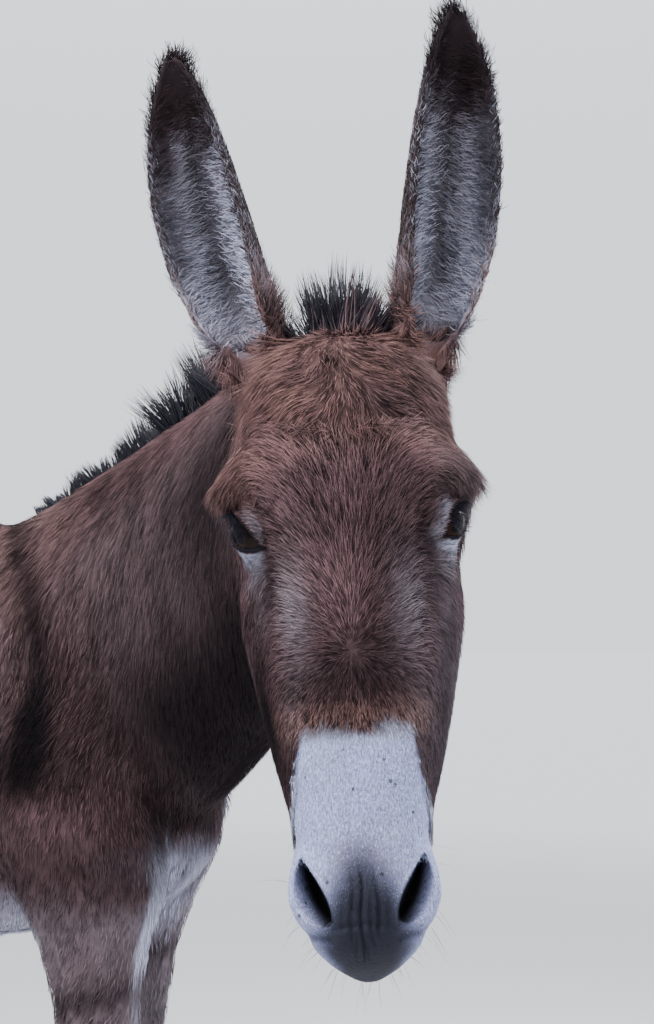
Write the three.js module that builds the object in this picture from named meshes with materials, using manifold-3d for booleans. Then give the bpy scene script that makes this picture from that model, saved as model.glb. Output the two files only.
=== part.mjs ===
// A standing donkey at life size, looking back past its right shoulder.
// Millimetres, +Z up. The trunk lies along Y and faces -Y, so the animal's right side is at -X.
// The flesh is one solid, lofted from side and plan outlines, and is then parted by thin cuts.
import * as THREE from "three";
import { LoftGeometry } from "three/addons/geometries/LoftGeometry.js";
import { mergeVertices } from "three/addons/utils/BufferGeometryUtils.js";
import Module from "manifold-3d";

const wasm = await Module();
wasm.setup();

// ---- Driving dimensions ----
const WITHERS_HEIGHT = 1195;
const HEAD_LENGTH = 530;
const EAR_LENGTH = 320;
const GAP = 0.4; // width of the thin cuts between neighbours
const RIGHT = -1;
const LEFT = 1;

// Where the head is carried. The plan's origin is under the withers.
const POLL = new THREE.Vector3(-319, -523, 1309);
const HEAD_TURN = 75; // degrees towards the animal's right
const HEAD_NOD = 15; // degrees that the muzzle is carried ahead of the poll
const HEAD_LEAN = 3; // degrees that the poll leans to the animal's right

const EYE = { side: 72, front: 46, down: 184, radius: 21 };
const NOSTRIL = { side: 35, front: 66, down: 466, halfLength: 25, halfWidth: 10, depth: 24, slant: 27 };
const EAR = { side: 62, back: 6, down: 28, lean: 2.4, turn: 26, wall: 8, tiltRight: 6, tiltLeft: 14 };

// ---- Colours and finishes of the parts ----
const finish = (color, roughness = 0.9) =>
  new THREE.MeshStandardMaterial({ color, roughness, metalness: 0 });
const BROWN_COAT = finish(0x4a3530);
const DARK_COAT = finish(0x2f2527);
const PALE_COAT = finish(0xb9b6bd);
const GREY_BROWN_COAT = finish(0x6b5a55);
const BLACK_HAIR = finish(0x1c1a20);
const EYE_GLOSS = finish(0x120c0a, 0.08);
const HORN = finish(0x3b3430, 0.6);

// ---- Working with shapes ----
const radians = THREE.MathUtils.degToRad;
const vector = (x, y, z) => new THREE.Vector3(x, y, z);
const UPWARDS = vector(0, 0, 1);

// A smooth run of numbers through stations, each of which is [place, value, value ...].
function run(...stations) {
  const curve = new THREE.CubicInterpolant(
    stations.map((station) => station[0]),
    stations.flatMap((station) => station.slice(1)),
    stations[0].length - 1,
  );
  return (place) => Array.from(curve.evaluate(place));
}

// The same with a single value at each station.
function outline(...stations) {
  const values = run(...stations);
  return (place) => values(place)[0];
}

// A power that keeps the sign: 1 leaves a circle round, less makes it squarer, more makes it pointed.
const signedPower = (value, power) => Math.sign(value) * Math.abs(value) ** power;

// A closed ring round a centre, with its own reach up and down along the `up` direction.
function ring({ centre, side, up, halfWidth, rise, drop, corner = 1, lowCorner = corner }, points) {
  return Array.from({ length: points }, (_, i) => {
    const angle = (i / points) * 2 * Math.PI;
    const across = Math.cos(angle);
    const along = Math.sin(angle);
    const power = along > 0 ? corner : lowCorner;
    return centre
      .clone()
      .addScaledVector(side, halfWidth * signedPower(across, power))
      .addScaledVector(up, (along > 0 ? rise : drop) * signedPower(along, power));
  });
}

const loft = (sections) => new LoftGeometry(sections, { capStart: true, capEnd: true });

function solid(geometry) {
  const bare = new THREE.BufferGeometry();
  bare.setAttribute("position", geometry.attributes.position);
  bare.setIndex(geometry.index);
  const merged = mergeVertices(bare, 1e-3);
  return new wasm.Manifold(
    new wasm.Mesh({
      numProp: 3,
      vertProperties: merged.attributes.position.array,
      triVerts: merged.index.array,
    }),
  );
}

function geometryOf(manifold) {
  const mesh = manifold.getMesh();
  const geometry = new THREE.BufferGeometry();
  geometry.setAttribute("position", new THREE.BufferAttribute(mesh.vertProperties, 3));
  geometry.setIndex(new THREE.BufferAttribute(mesh.triVerts, 1));
  geometry.computeVertexNormals();
  return geometry;
}

const union = (solids) => solids.reduce((whole, next) => whole.add(next));

// ---- Trunk ----
const TRUNK_POINTS = 20;
const TRUNK_RINGS = 18;
const BREAST = -272;
const BUTTOCK = 915;

// Along the trunk: top line, level of the widest place, underline and half-width.
const trunkAt = run(
  [BREAST, 905, 862, 822, 26],
  [-262, 955, 864, 786, 62],
  [-230, 1015, 864, 750, 98],
  [-172, 1078, 866, 722, 132],
  [-90, 1140, 868, 704, 162],
  [0, WITHERS_HEIGHT - 3, 872, 690, 182],
  [80, WITHERS_HEIGHT - 6, 874, 678, 200],
  [200, 1170, 872, 658, 228],
  [365, 1150, 866, 642, 248],
  [515, 1150, 870, 650, 250],
  [625, 1166, 882, 676, 245],
  [710, 1176, 896, 712, 230],
  [794, 1162, 915, 758, 206],
  [860, 1118, 930, 806, 166],
  [900, 1056, 938, 852, 110],
  [BUTTOCK, 1002, 940, 888, 46],
);

function trunk(grown = 0) {
  const sections = Array.from({ length: TRUNK_RINGS }, (_, i) => {
    // The rings crowd towards both ends, where the outline turns fastest.
    const share = (1 - Math.cos((Math.PI * i) / (TRUNK_RINGS - 1))) / 2;
    const y = THREE.MathUtils.lerp(BREAST, BUTTOCK, share);
    const [top, widest, bottom, halfWidth] = trunkAt(y);
    return ring(
      {
        centre: vector(0, y, widest),
        side: vector(-1, 0, 0),
        up: UPWARDS,
        halfWidth: halfWidth + grown,
        rise: top - widest + grown,
        drop: widest - bottom + grown,
        corner: 1.06,
        lowCorner: 0.9,
      },
      TRUNK_POINTS,
    );
  });
  return solid(loft(sections));
}

// ---- Neck ----
const NECK_POINTS = 20;
const NECK_RINGS = 11;
const neckLine = new THREE.CatmullRomCurve3([
  vector(0, 0, 950),
  vector(-6, -120, 1010),
  vector(-44, -240, 1080),
  vector(-108, -342, 1146),
  vector(-188, -424, 1196),
  vector(-262, -486, 1230),
]);

// Along the neck, as a share of its line: reach to the crest, reach to the underline and half-width.
const neckAt = run(
  [0, 218, 232, 146],
  [0.24, 200, 226, 130],
  [0.45, 190, 212, 112],
  [0.64, 170, 192, 98],
  [0.82, 138, 160, 86],
  [1, 108, 130, 76],
);

// The neck's own directions at a place on its line.
function neckFrame(place) {
  const ahead = neckLine.getTangentAt(place);
  const side = vector(0, 0, 0).crossVectors(UPWARDS, ahead).normalize();
  const up = vector(0, 0, 0).crossVectors(ahead, side).normalize();
  return { centre: neckLine.getPointAt(place), side, up };
}

function neck(grown = 0) {
  const sections = Array.from({ length: NECK_RINGS }, (_, i) => {
    const place = i / (NECK_RINGS - 1);
    const [rise, drop, halfWidth] = neckAt(place);
    return ring(
      {
        ...neckFrame(place),
        halfWidth: halfWidth + grown,
        rise: rise + grown,
        drop: drop + grown,
        corner: 1.12,
        lowCorner: 1,
      },
      NECK_POINTS,
    );
  });
  return solid(loft(sections));
}

// ---- Legs ----
const LEG_POINTS = 10;
const LEG_RINGS = 18;
const CORONET_SLOPE = 18; // degrees that the top of the hoof falls towards the heel

// Down each leg: height with its sign turned, place along the trunk, reach ahead, reach behind,
// half-width and distance from the middle.
const foreLegAt = run(
  [-1080, -40, 56, 60, 34, 84],
  [-990, -72, 96, 100, 58, 108],
  [-890, -122, 118, 118, 70, 118],
  [-810, -148, 108, 98, 70, 120],
  [-740, -150, 78, 64, 60, 114],
  [-675, -148, 58, 45, 50, 108],
  [-600, -147, 51, 43, 43, 104],
  [-510, -147, 45, 42, 39, 102],
  [-437, -148, 44, 43, 37, 102],
  [-392, -151, 49, 45, 41, 102],
  [-354, -151, 42, 43, 37, 102],
  [-306, -149, 32, 38, 31, 102],
  [-224, -149, 30, 35, 28, 102],
  [-172, -150, 32, 40, 31, 102],
  [-138, -154, 38, 43, 35, 102],
  [-103, -166, 33, 35, 31, 102],
  [-78, -176, 35, 36, 33, 102],
  [-58, -185, 41, 39, 37, 102],
);
const hindLegAt = run(
  [-1050, 697, 90, 84, 36, 84],
  [-966, 712, 150, 144, 76, 114],
  [-874, 712, 172, 160, 91, 128],
  [-790, 700, 160, 154, 89, 132],
  [-716, 700, 124, 126, 78, 128],
  [-650, 722, 91, 93, 63, 119],
  [-590, 766, 69, 72, 52, 113],
  [-534, 812, 54, 58, 43, 109],
  [-488, 848, 47, 54, 38, 107],
  [-448, 867, 45, 56, 38, 107],
  [-409, 867, 43, 48, 36, 107],
  [-358, 858, 35, 39, 32, 107],
  [-270, 850, 32, 35, 29, 107],
  [-200, 845, 33, 38, 30, 107],
  [-153, 838, 39, 44, 35, 107],
  [-113, 823, 33, 35, 31, 107],
  [-84, 812, 35, 36, 33, 107],
  [-58, 803, 41, 39, 37, 107],
);
const FORE = { at: foreLegAt, top: -1080, coronet: -58 };
const HIND = { at: hindLegAt, top: -1050, coronet: -58 };

// How far each foot is set ahead of (-) or behind (+) the square stance.
const LEGS = [
  { name: "foreleg_right", hoofName: "forehoof_right", leg: FORE, hand: RIGHT, step: -72 },
  { name: "foreleg_left", hoofName: "forehoof_left", leg: FORE, hand: LEFT, step: 62 },
  { name: "hindleg_right", hoofName: "hindhoof_right", leg: HIND, hand: RIGHT, step: 34 },
  { name: "hindleg_left", hoofName: "hindhoof_left", leg: HIND, hand: LEFT, step: -62 },
];
const JOINT_HEIGHT = 1000; // the step grows from the shoulder or stifle down to the foot

const stepAt = (step, height) => step * THREE.MathUtils.clamp(1 - height / JOINT_HEIGHT, 0, 1) ** 0.85;

// The forward direction of a ring, tilted so that the toe side stands higher.
const footward = (tilt) => vector(0, -Math.cos(radians(tilt)), Math.sin(radians(tilt)));

function limb({ leg, hand, step }) {
  const sections = Array.from({ length: LEG_RINGS }, (_, i) => {
    const share = i / (LEG_RINGS - 1);
    const place = THREE.MathUtils.lerp(leg.top, leg.coronet, share);
    const [y, ahead, behind, halfWidth, x] = leg.at(place);
    return ring(
      {
        centre: vector(hand * x, y + stepAt(step, -place), -place),
        side: vector(1, 0, 0),
        up: footward(CORONET_SLOPE * share ** 12),
        halfWidth,
        rise: ahead,
        drop: behind,
      },
      LEG_POINTS,
    );
  });
  return solid(loft(sections));
}

// ---- Hooves ----
const HOOF_POINTS = 14;

// Up the hoof: height, lean of the middle, reach to the toe, reach to the heel, half-width and slope.
const HOOF_RINGS = [
  [0, -17, 49, 36, 38, 0],
  [3, -16, 51, 37, 40, 0],
  [30, -9, 46, 37, 39, 8],
  [-FORE.coronet - GAP, 0, 41, 38, 37, CORONET_SLOPE],
];

function hoof({ leg, hand, step }) {
  const [y, , , , x] = leg.at(leg.coronet);
  const sections = HOOF_RINGS.map(([height, lean, toe, heel, halfWidth, slope]) =>
    ring(
      {
        centre: vector(hand * x, y + stepAt(step, -leg.coronet) + lean, height),
        side: vector(-1, 0, 0),
        up: footward(slope),
        halfWidth,
        rise: toe,
        drop: heel,
        lowCorner: 0.8,
      },
      HOOF_POINTS,
    ),
  );
  return solid(loft(sections));
}

// ---- Tail ----
const TAIL_POINTS = 8;
const tailLine = new THREE.CatmullRomCurve3([
  vector(0, 848, 1076),
  vector(0, 922, 1044),
  vector(0, 958, 955),
  vector(0, 962, 830),
  vector(0, 958, 690),
  vector(4, 952, 540),
  vector(6, 948, 430),
]);
const tailRadius = outline(
  [0, 42], [0.12, 37], [0.3, 28], [0.5, 22], [0.62, 25], [0.78, 40], [0.9, 36], [1, 11],
);
const TASSEL_FROM = 0.56; // share of the tail where the long hair starts
const TASSEL_GAP = 0.0006; // the thin cut between them, as a share

function tailPiece(from, to, rings) {
  const sections = Array.from({ length: rings }, (_, i) => {
    const place = THREE.MathUtils.lerp(from, to, i / (rings - 1));
    const ahead = tailLine.getTangentAt(place);
    const side = vector(1, 0, 0);
    const up = vector(0, 0, 0).crossVectors(ahead, side).normalize();
    const radius = tailRadius(place);
    const centre = tailLine.getPointAt(place);
    return ring({ centre, side, up, halfWidth: radius, rise: radius, drop: radius }, TAIL_POINTS);
  });
  return solid(loft(sections));
}

// ---- Head, in its own frame: the poll at the origin, the face towards -Y and the muzzle down -Z ----
const HEAD_POINTS = 28;
const HEAD_RINGS = 30;

const faceReach = outline(
  [0, 30], [23, 60], [62, 83], [114, 94], [166, 93], [229, 86], [301, 79], [364, 73],
  [424, 68], [455, 69], [484, 67], [504, 57], [519, 38], [HEAD_LENGTH, 10],
);
const jawReach = outline(
  [0, 62], [42, 104], [99, 136], [156, 146], [213, 134], [270, 108], [322, 82], [374, 62],
  [420, 47], [460, 41], [490, 41], [510, 37], [521, 27], [HEAD_LENGTH, 6],
);
const headHalfWidth = outline(
  [0, 50], [23, 72], [62, 89], [114, 98], [150, 96], [182, 91], [213, 88], [260, 87], [317, 79],
  [369, 68], [408, 56], [440, 51], [468, 52], [494, 45], [512, 34], [522, 21], [HEAD_LENGTH, 7],
);
// How far ahead of the middle the head is widest.
const widestAhead = outline(
  [0, -6], [104, -6], [171, 0], [249, -14], [343, -8], [416, 10], [478, 20], [HEAD_LENGTH, 10],
);
const faceCorner = outline(
  [0, 1], [104, 0.88], [208, 0.8], [343, 0.72], [447, 0.8], [509, 0.9], [HEAD_LENGTH, 1],
);

// Rounded swellings and hollows: where they lie, how far they spread and how far they push.
// A form off the middle is repeated on the other side.
const HEAD_FORMS = [
  { at: [92, -50, -154], spread: [36, 38, 26], push: [24, -7, 3] }, // orbital arch
  { at: [88, -40, -190], spread: [20, 26, 22], push: [3, -2, 0] }, // the eye's own bulge
  { at: [84, 0, -104], spread: [26, 30, 28], push: [-6, 0, 0] }, // hollow above the eye
  { at: [84, -20, -245], spread: [22, 26, 44], push: [4, -3, 0] }, // facial crest
  { at: [84, 74, -177], spread: [60, 52, 62], push: [8, 4, 0] }, // cheek muscle
  { at: [60, -62, -241], spread: [24, 22, 38], push: [-4, 3, 0] }, // hollow ahead of the eye
  { at: [60, -26, -358], spread: [26, 34, 44], push: [-4, 0, 0] }, // hollow at the side of the nose
  { at: [50, -46, -466], spread: [26, 34, 28], push: [8, -4, 0] }, // flare of the nostril
  { at: [0, -66, -507], spread: [32, 24, 22], push: [0, -5, 0] }, // fullness of the upper lip
  { at: [0, 40, -507], spread: [28, 24, 24], push: [0, 6, -3] }, // chin
  { at: [0, -92, -91], spread: [56, 40, 44], push: [0, -6, 0] }, // dome of the forehead
];

function pushedByForms(point) {
  const moved = point.clone();
  for (const { at, spread, push } of HEAD_FORMS) {
    for (const hand of at[0] === 0 ? [LEFT] : [LEFT, RIGHT]) {
      const away =
        ((point.x - hand * at[0]) / spread[0]) ** 2 +
        ((point.y - at[1]) / spread[1]) ** 2 +
        ((point.z - at[2]) / spread[2]) ** 2;
      const share = Math.exp(-away);
      moved.x += hand * push[0] * share;
      moved.y += push[1] * share;
      moved.z += push[2] * share;
    }
  }
  return moved;
}

function skull(grown = 0) {
  const sections = Array.from({ length: HEAD_RINGS }, (_, i) => {
    const share = i / (HEAD_RINGS - 1);
    // The rings stand closer together at the poll and the lips.
    const down = HEAD_LENGTH * (share - 0.07 * Math.sin(2 * Math.PI * share));
    const ahead = widestAhead(down);
    return ring(
      {
        centre: vector(0, -ahead, grown - down),
        side: vector(1, 0, 0),
        up: vector(0, -1, 0),
        halfWidth: headHalfWidth(down) + grown,
        rise: faceReach(down) - ahead + grown,
        drop: jawReach(down) + ahead + grown,
        corner: faceCorner(down),
        lowCorner: 1.1,
      },
      HEAD_POINTS,
    ).map(pushedByForms);
  });
  return solid(loft(sections));
}

function eyeBall(hand, radius) {
  const ball = new THREE.SphereGeometry(radius, 12, 7);
  return solid(ball.translate(hand * EYE.side, -EYE.front, -EYE.down));
}

// The nostril is a slanting oval pit, nearest the middle at its lower end.
function nostrilPit(hand) {
  const pit = new THREE.SphereGeometry(1, 10, 7);
  pit.scale(NOSTRIL.halfWidth, NOSTRIL.depth, NOSTRIL.halfLength);
  pit.rotateY(radians(hand * NOSTRIL.slant));
  return solid(pit.translate(hand * NOSTRIL.side, -NOSTRIL.front, -NOSTRIL.down));
}

// ---- Ears, each a leaf rolled round its own upright axis ----
const EAR_POINTS = 9; // across each face of the leaf
const EAR_RINGS = 12;

// Up the ear, as a share of its length: radius of the roll, half its angle, set-back of its axis
// and how far its axis has bent outwards.
const earAt = run(
  [0, 27, 150, 0, 0],
  [0.14, 38, 126, 2, 20],
  [0.3, 45, 108, 4, 38],
  [0.45, 47, 98, 5, 50],
  [0.6, 46, 92, 5, 60],
  [0.75, 40, 90, 3, 66],
  [0.87, 30, 88, -1, 69],
  [0.95, 19, 88, -6, 70],
  [1, 7, 88, -10, 70],
);

// One face of the leaf, from its inner rim round the back to its outer rim, or the other way.
function earFace(radius, halfAngle, centre, direction) {
  return Array.from({ length: EAR_POINTS }, (_, j) => {
    const angle = radians(direction * halfAngle * ((2 * j) / (EAR_POINTS - 1) - 1)) - centre.turn;
    return vector(centre.x + radius * Math.sin(angle), centre.y + radius * Math.cos(angle), centre.z);
  });
}

function ear(hand, grown = 0) {
  const sections = Array.from({ length: EAR_RINGS }, (_, i) => {
    const share = Math.sin((0.5 * Math.PI * i) / (EAR_RINGS - 1)) ** 0.85;
    const [roll, halfAngle, setBack, outwards] = earAt(share);
    const radius = roll + grown;
    const wall = Math.min(EAR.wall, radius * 0.55) + 2 * grown;
    const centre = {
      x: hand * outwards,
      y: setBack,
      z: share * EAR_LENGTH,
      turn: hand * radians(EAR.turn),
    };
    return [...earFace(radius - wall, halfAngle, centre, 1), ...earFace(radius, halfAngle, centre, -1)];
  });
  const leaf = loft(sections);
  leaf.rotateX(radians(hand === LEFT ? EAR.tiltLeft : EAR.tiltRight));
  leaf.rotateY(radians(-EAR.lean));
  return solid(leaf.translate(hand * EAR.side, EAR.back, -EAR.down));
}

// ---- Upright mane and forelock ----
const MANE = { from: 0.2, to: 0.9, halfWidth: 13, rooted: 30, points: 8, rings: 14 };
const maneHeight = outline([0.2, 4], [0.32, 22], [0.45, 48], [0.65, 64], [0.82, 62], [0.9, 54]);

function mane(grown = 0) {
  const sections = Array.from({ length: MANE.rings }, (_, i) => {
    const place = THREE.MathUtils.lerp(MANE.from, MANE.to, i / (MANE.rings - 1));
    const { centre, side, up } = neckFrame(place);
    centre.addScaledVector(up, neckAt(place)[0] - MANE.rooted);
    const rise = MANE.rooted + maneHeight(place);
    const halfWidth = MANE.halfWidth + grown;
    return ring({ centre, side, up, halfWidth, rise: rise + grown, drop: 4, corner: 0.8 }, MANE.points);
  });
  return solid(loft(sections));
}

// Up the forelock: height above the poll, half-width and half-depth.
const FORELOCK_RINGS = [[-40, 22, 16], [-10, 30, 20], [14, 36, 22], [36, 38, 20], [58, 32, 15], [76, 16, 7]];
const FORELOCK_BACK = 2;

function forelock() {
  const sections = FORELOCK_RINGS.map(([height, halfWidth, halfDepth]) =>
    ring(
      {
        centre: vector(0, FORELOCK_BACK, height),
        side: vector(1, 0, 0),
        up: vector(0, 1, 0),
        halfWidth,
        rise: halfDepth,
        drop: halfDepth,
      },
      10,
    ),
  );
  return solid(loft(sections));
}

// ---- The head's frame on the body ----
const headFrame = new THREE.Group();
headFrame.position.copy(POLL);
headFrame.rotation.order = "ZXY";
headFrame.rotation.set(radians(-HEAD_NOD), radians(-HEAD_LEAN), radians(-HEAD_TURN));
headFrame.updateMatrix();
const onTheBody = (manifold) => manifold.transform(headFrame.matrix.toArray());

// ---- Parting the flesh ----
const REACH = 3000; // larger than the animal

// A block between its lowest and highest corners.
function block(low, high) {
  const size = high.map((value, axis) => value - low[axis]);
  const middle = high.map((value, axis) => (value + low[axis]) / 2);
  return solid(new THREE.BoxGeometry(...size).translate(...middle));
}

// All space ahead of a plane, whose face `inset` draws back by the width of the cut.
function ahead(point, normal, inset) {
  const space = new THREE.BoxGeometry(REACH, REACH, REACH).translate(0, 0, REACH / 2 + inset);
  const turn = new THREE.Quaternion().setFromUnitVectors(UPWARDS, vector(...normal).normalize());
  return solid(space.applyQuaternion(turn).translate(...point));
}

// A door-shaped block with a round head, wider below the elbow or stifle, that takes one leg.
function archway({ middle, halfWidth, spring, flare, inner, outer }, hand, inset) {
  const half = halfWidth - inset;
  const shape = new THREE.Shape();
  shape.moveTo(-half - flare, -REACH / 4);
  shape.lineTo(half + flare, -REACH / 4);
  shape.lineTo(half + flare, FLARE_TOP);
  shape.lineTo(half, spring);
  shape.absarc(0, spring, half, 0, Math.PI, false);
  shape.lineTo(-half - flare, FLARE_TOP);
  shape.closePath();
  const depth = outer - inner - inset;
  const door = new THREE.ExtrudeGeometry(shape, { depth, bevelEnabled: false, curveSegments: 8 });
  door.rotateX(Math.PI / 2).rotateZ(Math.PI / 2);
  return solid(door.translate(hand > 0 ? inner + inset : -outer, middle, 0));
}

const FLARE_TOP = 560;
const FORE_ARCH = { middle: -144, halfWidth: 126, spring: 770, flare: 60, inner: 30, outer: 380 };
const HIND_ARCH = { middle: 712, halfWidth: 214, spring: 800, flare: 45, inner: 26, outer: 420 };

// The region round the head that holds one ear.
const earRegion = (hand) =>
  hand === LEFT ? block([2, -200, -60], [260, 58, 420]) : block([-260, -200, -60], [-2, 58, 420]);
const earCut = (hand) => (inset) =>
  ahead([hand * EAR.side, EAR.back, 12], [hand * 0.24, -0.1, 1], inset).intersect(earRegion(hand));
const lipCut = (inset) =>
  ahead([0, 0, -525], [0, 0.98, -0.2], inset).intersect(ahead([0, 0, -455], [0, 0.3, -1], inset));
const muzzleCut = (inset) => ahead([0, 0, -372], [0, -0.12, -1], inset);
const headCut = (inset) =>
  ahead([0, 88, -60], [0, -1, -0.3], inset).intersect(block([-190, -200, -600], [190, 260, 400]));
const neckCut = (inset) => ahead([0, -170, 1060], [0, -0.85, 0.53], inset);
const tailCut = (inset) =>
  ahead([0, 917, 0], [0, 1, 0], inset).intersect(block([-60, 800, 400], [60, 1100, 1200]));

const parts = new Map();

// Takes one part off a solid and returns what is left on the other side of the thin cut.
function takeOff(whole, name, cutter) {
  parts.set(name, whole.intersect(cutter(GAP)));
  return whole.subtract(cutter(0));
}

const onHead = (cutter) => (inset) => onTheBody(cutter(inset));
const sockets = [RIGHT, LEFT].flatMap((hand) => [eyeBall(hand, EYE.radius + GAP), nostrilPit(hand)]);
const wholeHead = union([skull(), ear(RIGHT), ear(LEFT)]).subtract(union(sockets));

let flesh = union([trunk(), neck(), ...LEGS.map(limb), tailPiece(0, TASSEL_FROM, 8), onTheBody(wholeHead)]);
flesh = takeOff(flesh, "ear_right", onHead(earCut(RIGHT)));
flesh = takeOff(flesh, "ear_left", onHead(earCut(LEFT)));

let head = flesh.intersect(onHead(headCut)(GAP));
head = takeOff(head, "lower_lip", onHead(lipCut));
head = takeOff(head, "muzzle", onHead(muzzleCut));
parts.set("head", head);

const body = flesh.subtract(onHead(headCut)(0));
let rest = takeOff(body, "neck", neckCut);
for (const { name, leg, hand } of LEGS) {
  rest = takeOff(rest, name, (inset) => archway(leg === FORE ? FORE_ARCH : HIND_ARCH, hand, inset));
}
rest = takeOff(rest, "tail", tailCut);
parts.set("trunk", rest);

for (const stance of LEGS) {
  parts.set(stance.hoofName, hoof(stance));
}
parts.set("tail_tassel", tailPiece(TASSEL_FROM + TASSEL_GAP, 1, 8));
parts.set("eye_right", onTheBody(eyeBall(RIGHT, EYE.radius)));
parts.set("eye_left", onTheBody(eyeBall(LEFT, EYE.radius)));

// The mane and forelock stand on the flesh, clear of it and of the ears by the same gap.
const grownFlesh = union([trunk(GAP), neck(GAP), onTheBody(skull(GAP))]);
const grownEars = onTheBody(union([RIGHT, LEFT].map((hand) => ear(hand, GAP))));
parts.set("mane", mane().subtract(grownFlesh));
parts.set("forelock", onTheBody(forelock()).subtract(grownFlesh).subtract(grownEars).subtract(mane(GAP)));

const FINISHES = {
  muzzle: PALE_COAT,
  lower_lip: PALE_COAT,
  ear_right: DARK_COAT,
  ear_left: DARK_COAT,
  foreleg_right: GREY_BROWN_COAT,
  foreleg_left: GREY_BROWN_COAT,
  hindleg_right: GREY_BROWN_COAT,
  hindleg_left: GREY_BROWN_COAT,
  forehoof_right: HORN,
  forehoof_left: HORN,
  hindhoof_right: HORN,
  hindhoof_left: HORN,
  eye_right: EYE_GLOSS,
  eye_left: EYE_GLOSS,
  tail_tassel: BLACK_HAIR,
  mane: BLACK_HAIR,
  forelock: BLACK_HAIR,
};

const donkey = new THREE.Group();
for (const [name, manifold] of parts) {
  const mesh = new THREE.Mesh(geometryOf(manifold), FINISHES[name] ?? BROWN_COAT);
  mesh.name = name;
  donkey.add(mesh);
}

// The origin is the middle of the animal's box, at the level of the soles.
const bounds = new THREE.Box3().setFromObject(donkey);
const middle = bounds.getCenter(vector(0, 0, 0));
donkey.position.set(-middle.x, -middle.y, -bounds.min.z);

export default donkey;
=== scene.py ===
"""The looks of a life-size standing donkey: skin, coat, long hair, eyes and hooves."""

import math

import bmesh
import bpy
import numpy as np
from bpy.props import FloatProperty, FloatVectorProperty, IntProperty, PointerProperty
from mathutils import Matrix, Vector
from mathutils.bvhtree import BVHTree


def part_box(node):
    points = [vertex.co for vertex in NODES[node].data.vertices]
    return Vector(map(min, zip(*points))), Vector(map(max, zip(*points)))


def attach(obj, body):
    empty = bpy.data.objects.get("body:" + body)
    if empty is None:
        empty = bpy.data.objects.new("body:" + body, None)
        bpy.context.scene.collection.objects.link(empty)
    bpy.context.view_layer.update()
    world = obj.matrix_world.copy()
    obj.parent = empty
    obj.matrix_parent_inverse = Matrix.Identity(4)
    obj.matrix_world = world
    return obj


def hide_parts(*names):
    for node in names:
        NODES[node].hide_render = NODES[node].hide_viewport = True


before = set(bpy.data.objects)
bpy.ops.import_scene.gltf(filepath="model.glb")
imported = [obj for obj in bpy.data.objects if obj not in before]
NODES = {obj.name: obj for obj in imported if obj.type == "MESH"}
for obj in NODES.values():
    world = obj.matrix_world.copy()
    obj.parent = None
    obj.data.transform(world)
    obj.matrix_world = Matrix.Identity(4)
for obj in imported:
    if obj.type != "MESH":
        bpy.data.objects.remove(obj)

bl_info = {
    "name": "Standing donkey",
    "version": (1, 0, 0),
    "blender": (4, 5, 0),
    "location": "View3D > Sidebar > Donkey",
    "description": "Dresses the solids of a standing donkey in skin, hair, eyes and horn",
    "category": "Object",
}

MM = 0.001
RIGHT, LEFT = -1, 1
LEGS = ("foreleg_right", "foreleg_left", "hindleg_right", "hindleg_left")
EARS = ("ear_right", "ear_left")
FLESH = ("trunk", "neck", "head", "muzzle", "lower_lip", *EARS, *LEGS, "tail")
HOOVES = ("forehoof_right", "forehoof_left", "hindhoof_right", "hindhoof_left")
REGIONS = ("head", "neck", "trunk", "leg", "tail", "ear")
SEED = 7  # of the random draws, to which each piece adds its own number


# ---- Places on the animal ----
def rotation(axis, degrees):
    return np.array(Matrix.Rotation(math.radians(degrees), 3, axis))


def middle_of(node):
    low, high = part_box(node)
    return (np.array(low) + np.array(high)) / 2


# The head's own frame, in millimetres: the poll at the origin, the face towards -Y, the muzzle
# down -Z and the animal's left at +X.
HEAD_AXES = rotation("Z", -75) @ rotation("X", -15) @ rotation("Y", -3)
EYE = {"side": 72, "front": 46, "down": 184}
POLL = (middle_of("eye_right") + middle_of("eye_left")) / 2 - HEAD_AXES @ (
    np.array([0, -EYE["front"], -EYE["down"]]) * MM
)
# The body's own frame, in millimetres: the trunk faces -Y and the origin is on the floor below
# the withers.
POLL_ON_BODY = np.array([-319, -523, 1309])
BELOW_WITHERS = POLL - POLL_ON_BODY * MM
# Where the neck leaves the trunk, and directions in the body's frame: along the neck to the head,
# and from its middle to the crest.
NECK_FOOT = np.array([0, 0, 950])
NECK_AHEAD = np.array([-0.424, -0.786, 0.453])
NECK_UP = np.array([0.215, 0.399, 0.891])


def on_head(points):
    return (points - POLL) @ HEAD_AXES / MM


def from_head(points):
    return np.asarray(points, float) * MM @ HEAD_AXES.T + POLL


def on_body(points):
    return (points - BELOW_WITHERS) / MM


def aside_back_down(head):
    """How far each point of the head lies from its middle plane, behind the poll and below it."""
    return np.abs(head[:, 0]), head[:, 1], -head[:, 2]


def share_of(regions, *names):
    """How much each point belongs to the named regions together."""
    return sum(regions[:, REGIONS.index(name)] for name in names)


# ---- Working with numbers ----
def unit(vectors):
    return vectors / np.maximum(np.linalg.norm(vectors, axis=-1, keepdims=True), 1e-9)


def rise(start, end, values):
    """A smooth step from 0 at start to 1 at end, which may lie either way round."""
    share = np.clip((values - start) / (end - start), 0, 1)
    return share * share * (3 - 2 * share)


def bell(values, middle, spread):
    return np.exp(-(((values - middle) / spread) ** 2))


def blend(first, second, share):
    return first + (second - first) * share


def ripple(points, size, seed):
    """Soft waves between about -1 and 1 over points, with bumps about `size` across."""
    dice = np.random.default_rng(seed)
    waves = unit(dice.normal(size=(6, 3))) * (2 * math.pi / size) * dice.uniform(0.3, 0.75, (6, 1))
    return np.sin(points @ waves.T + dice.uniform(0, 6.3, 6)).sum(1) / 2.6


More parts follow.
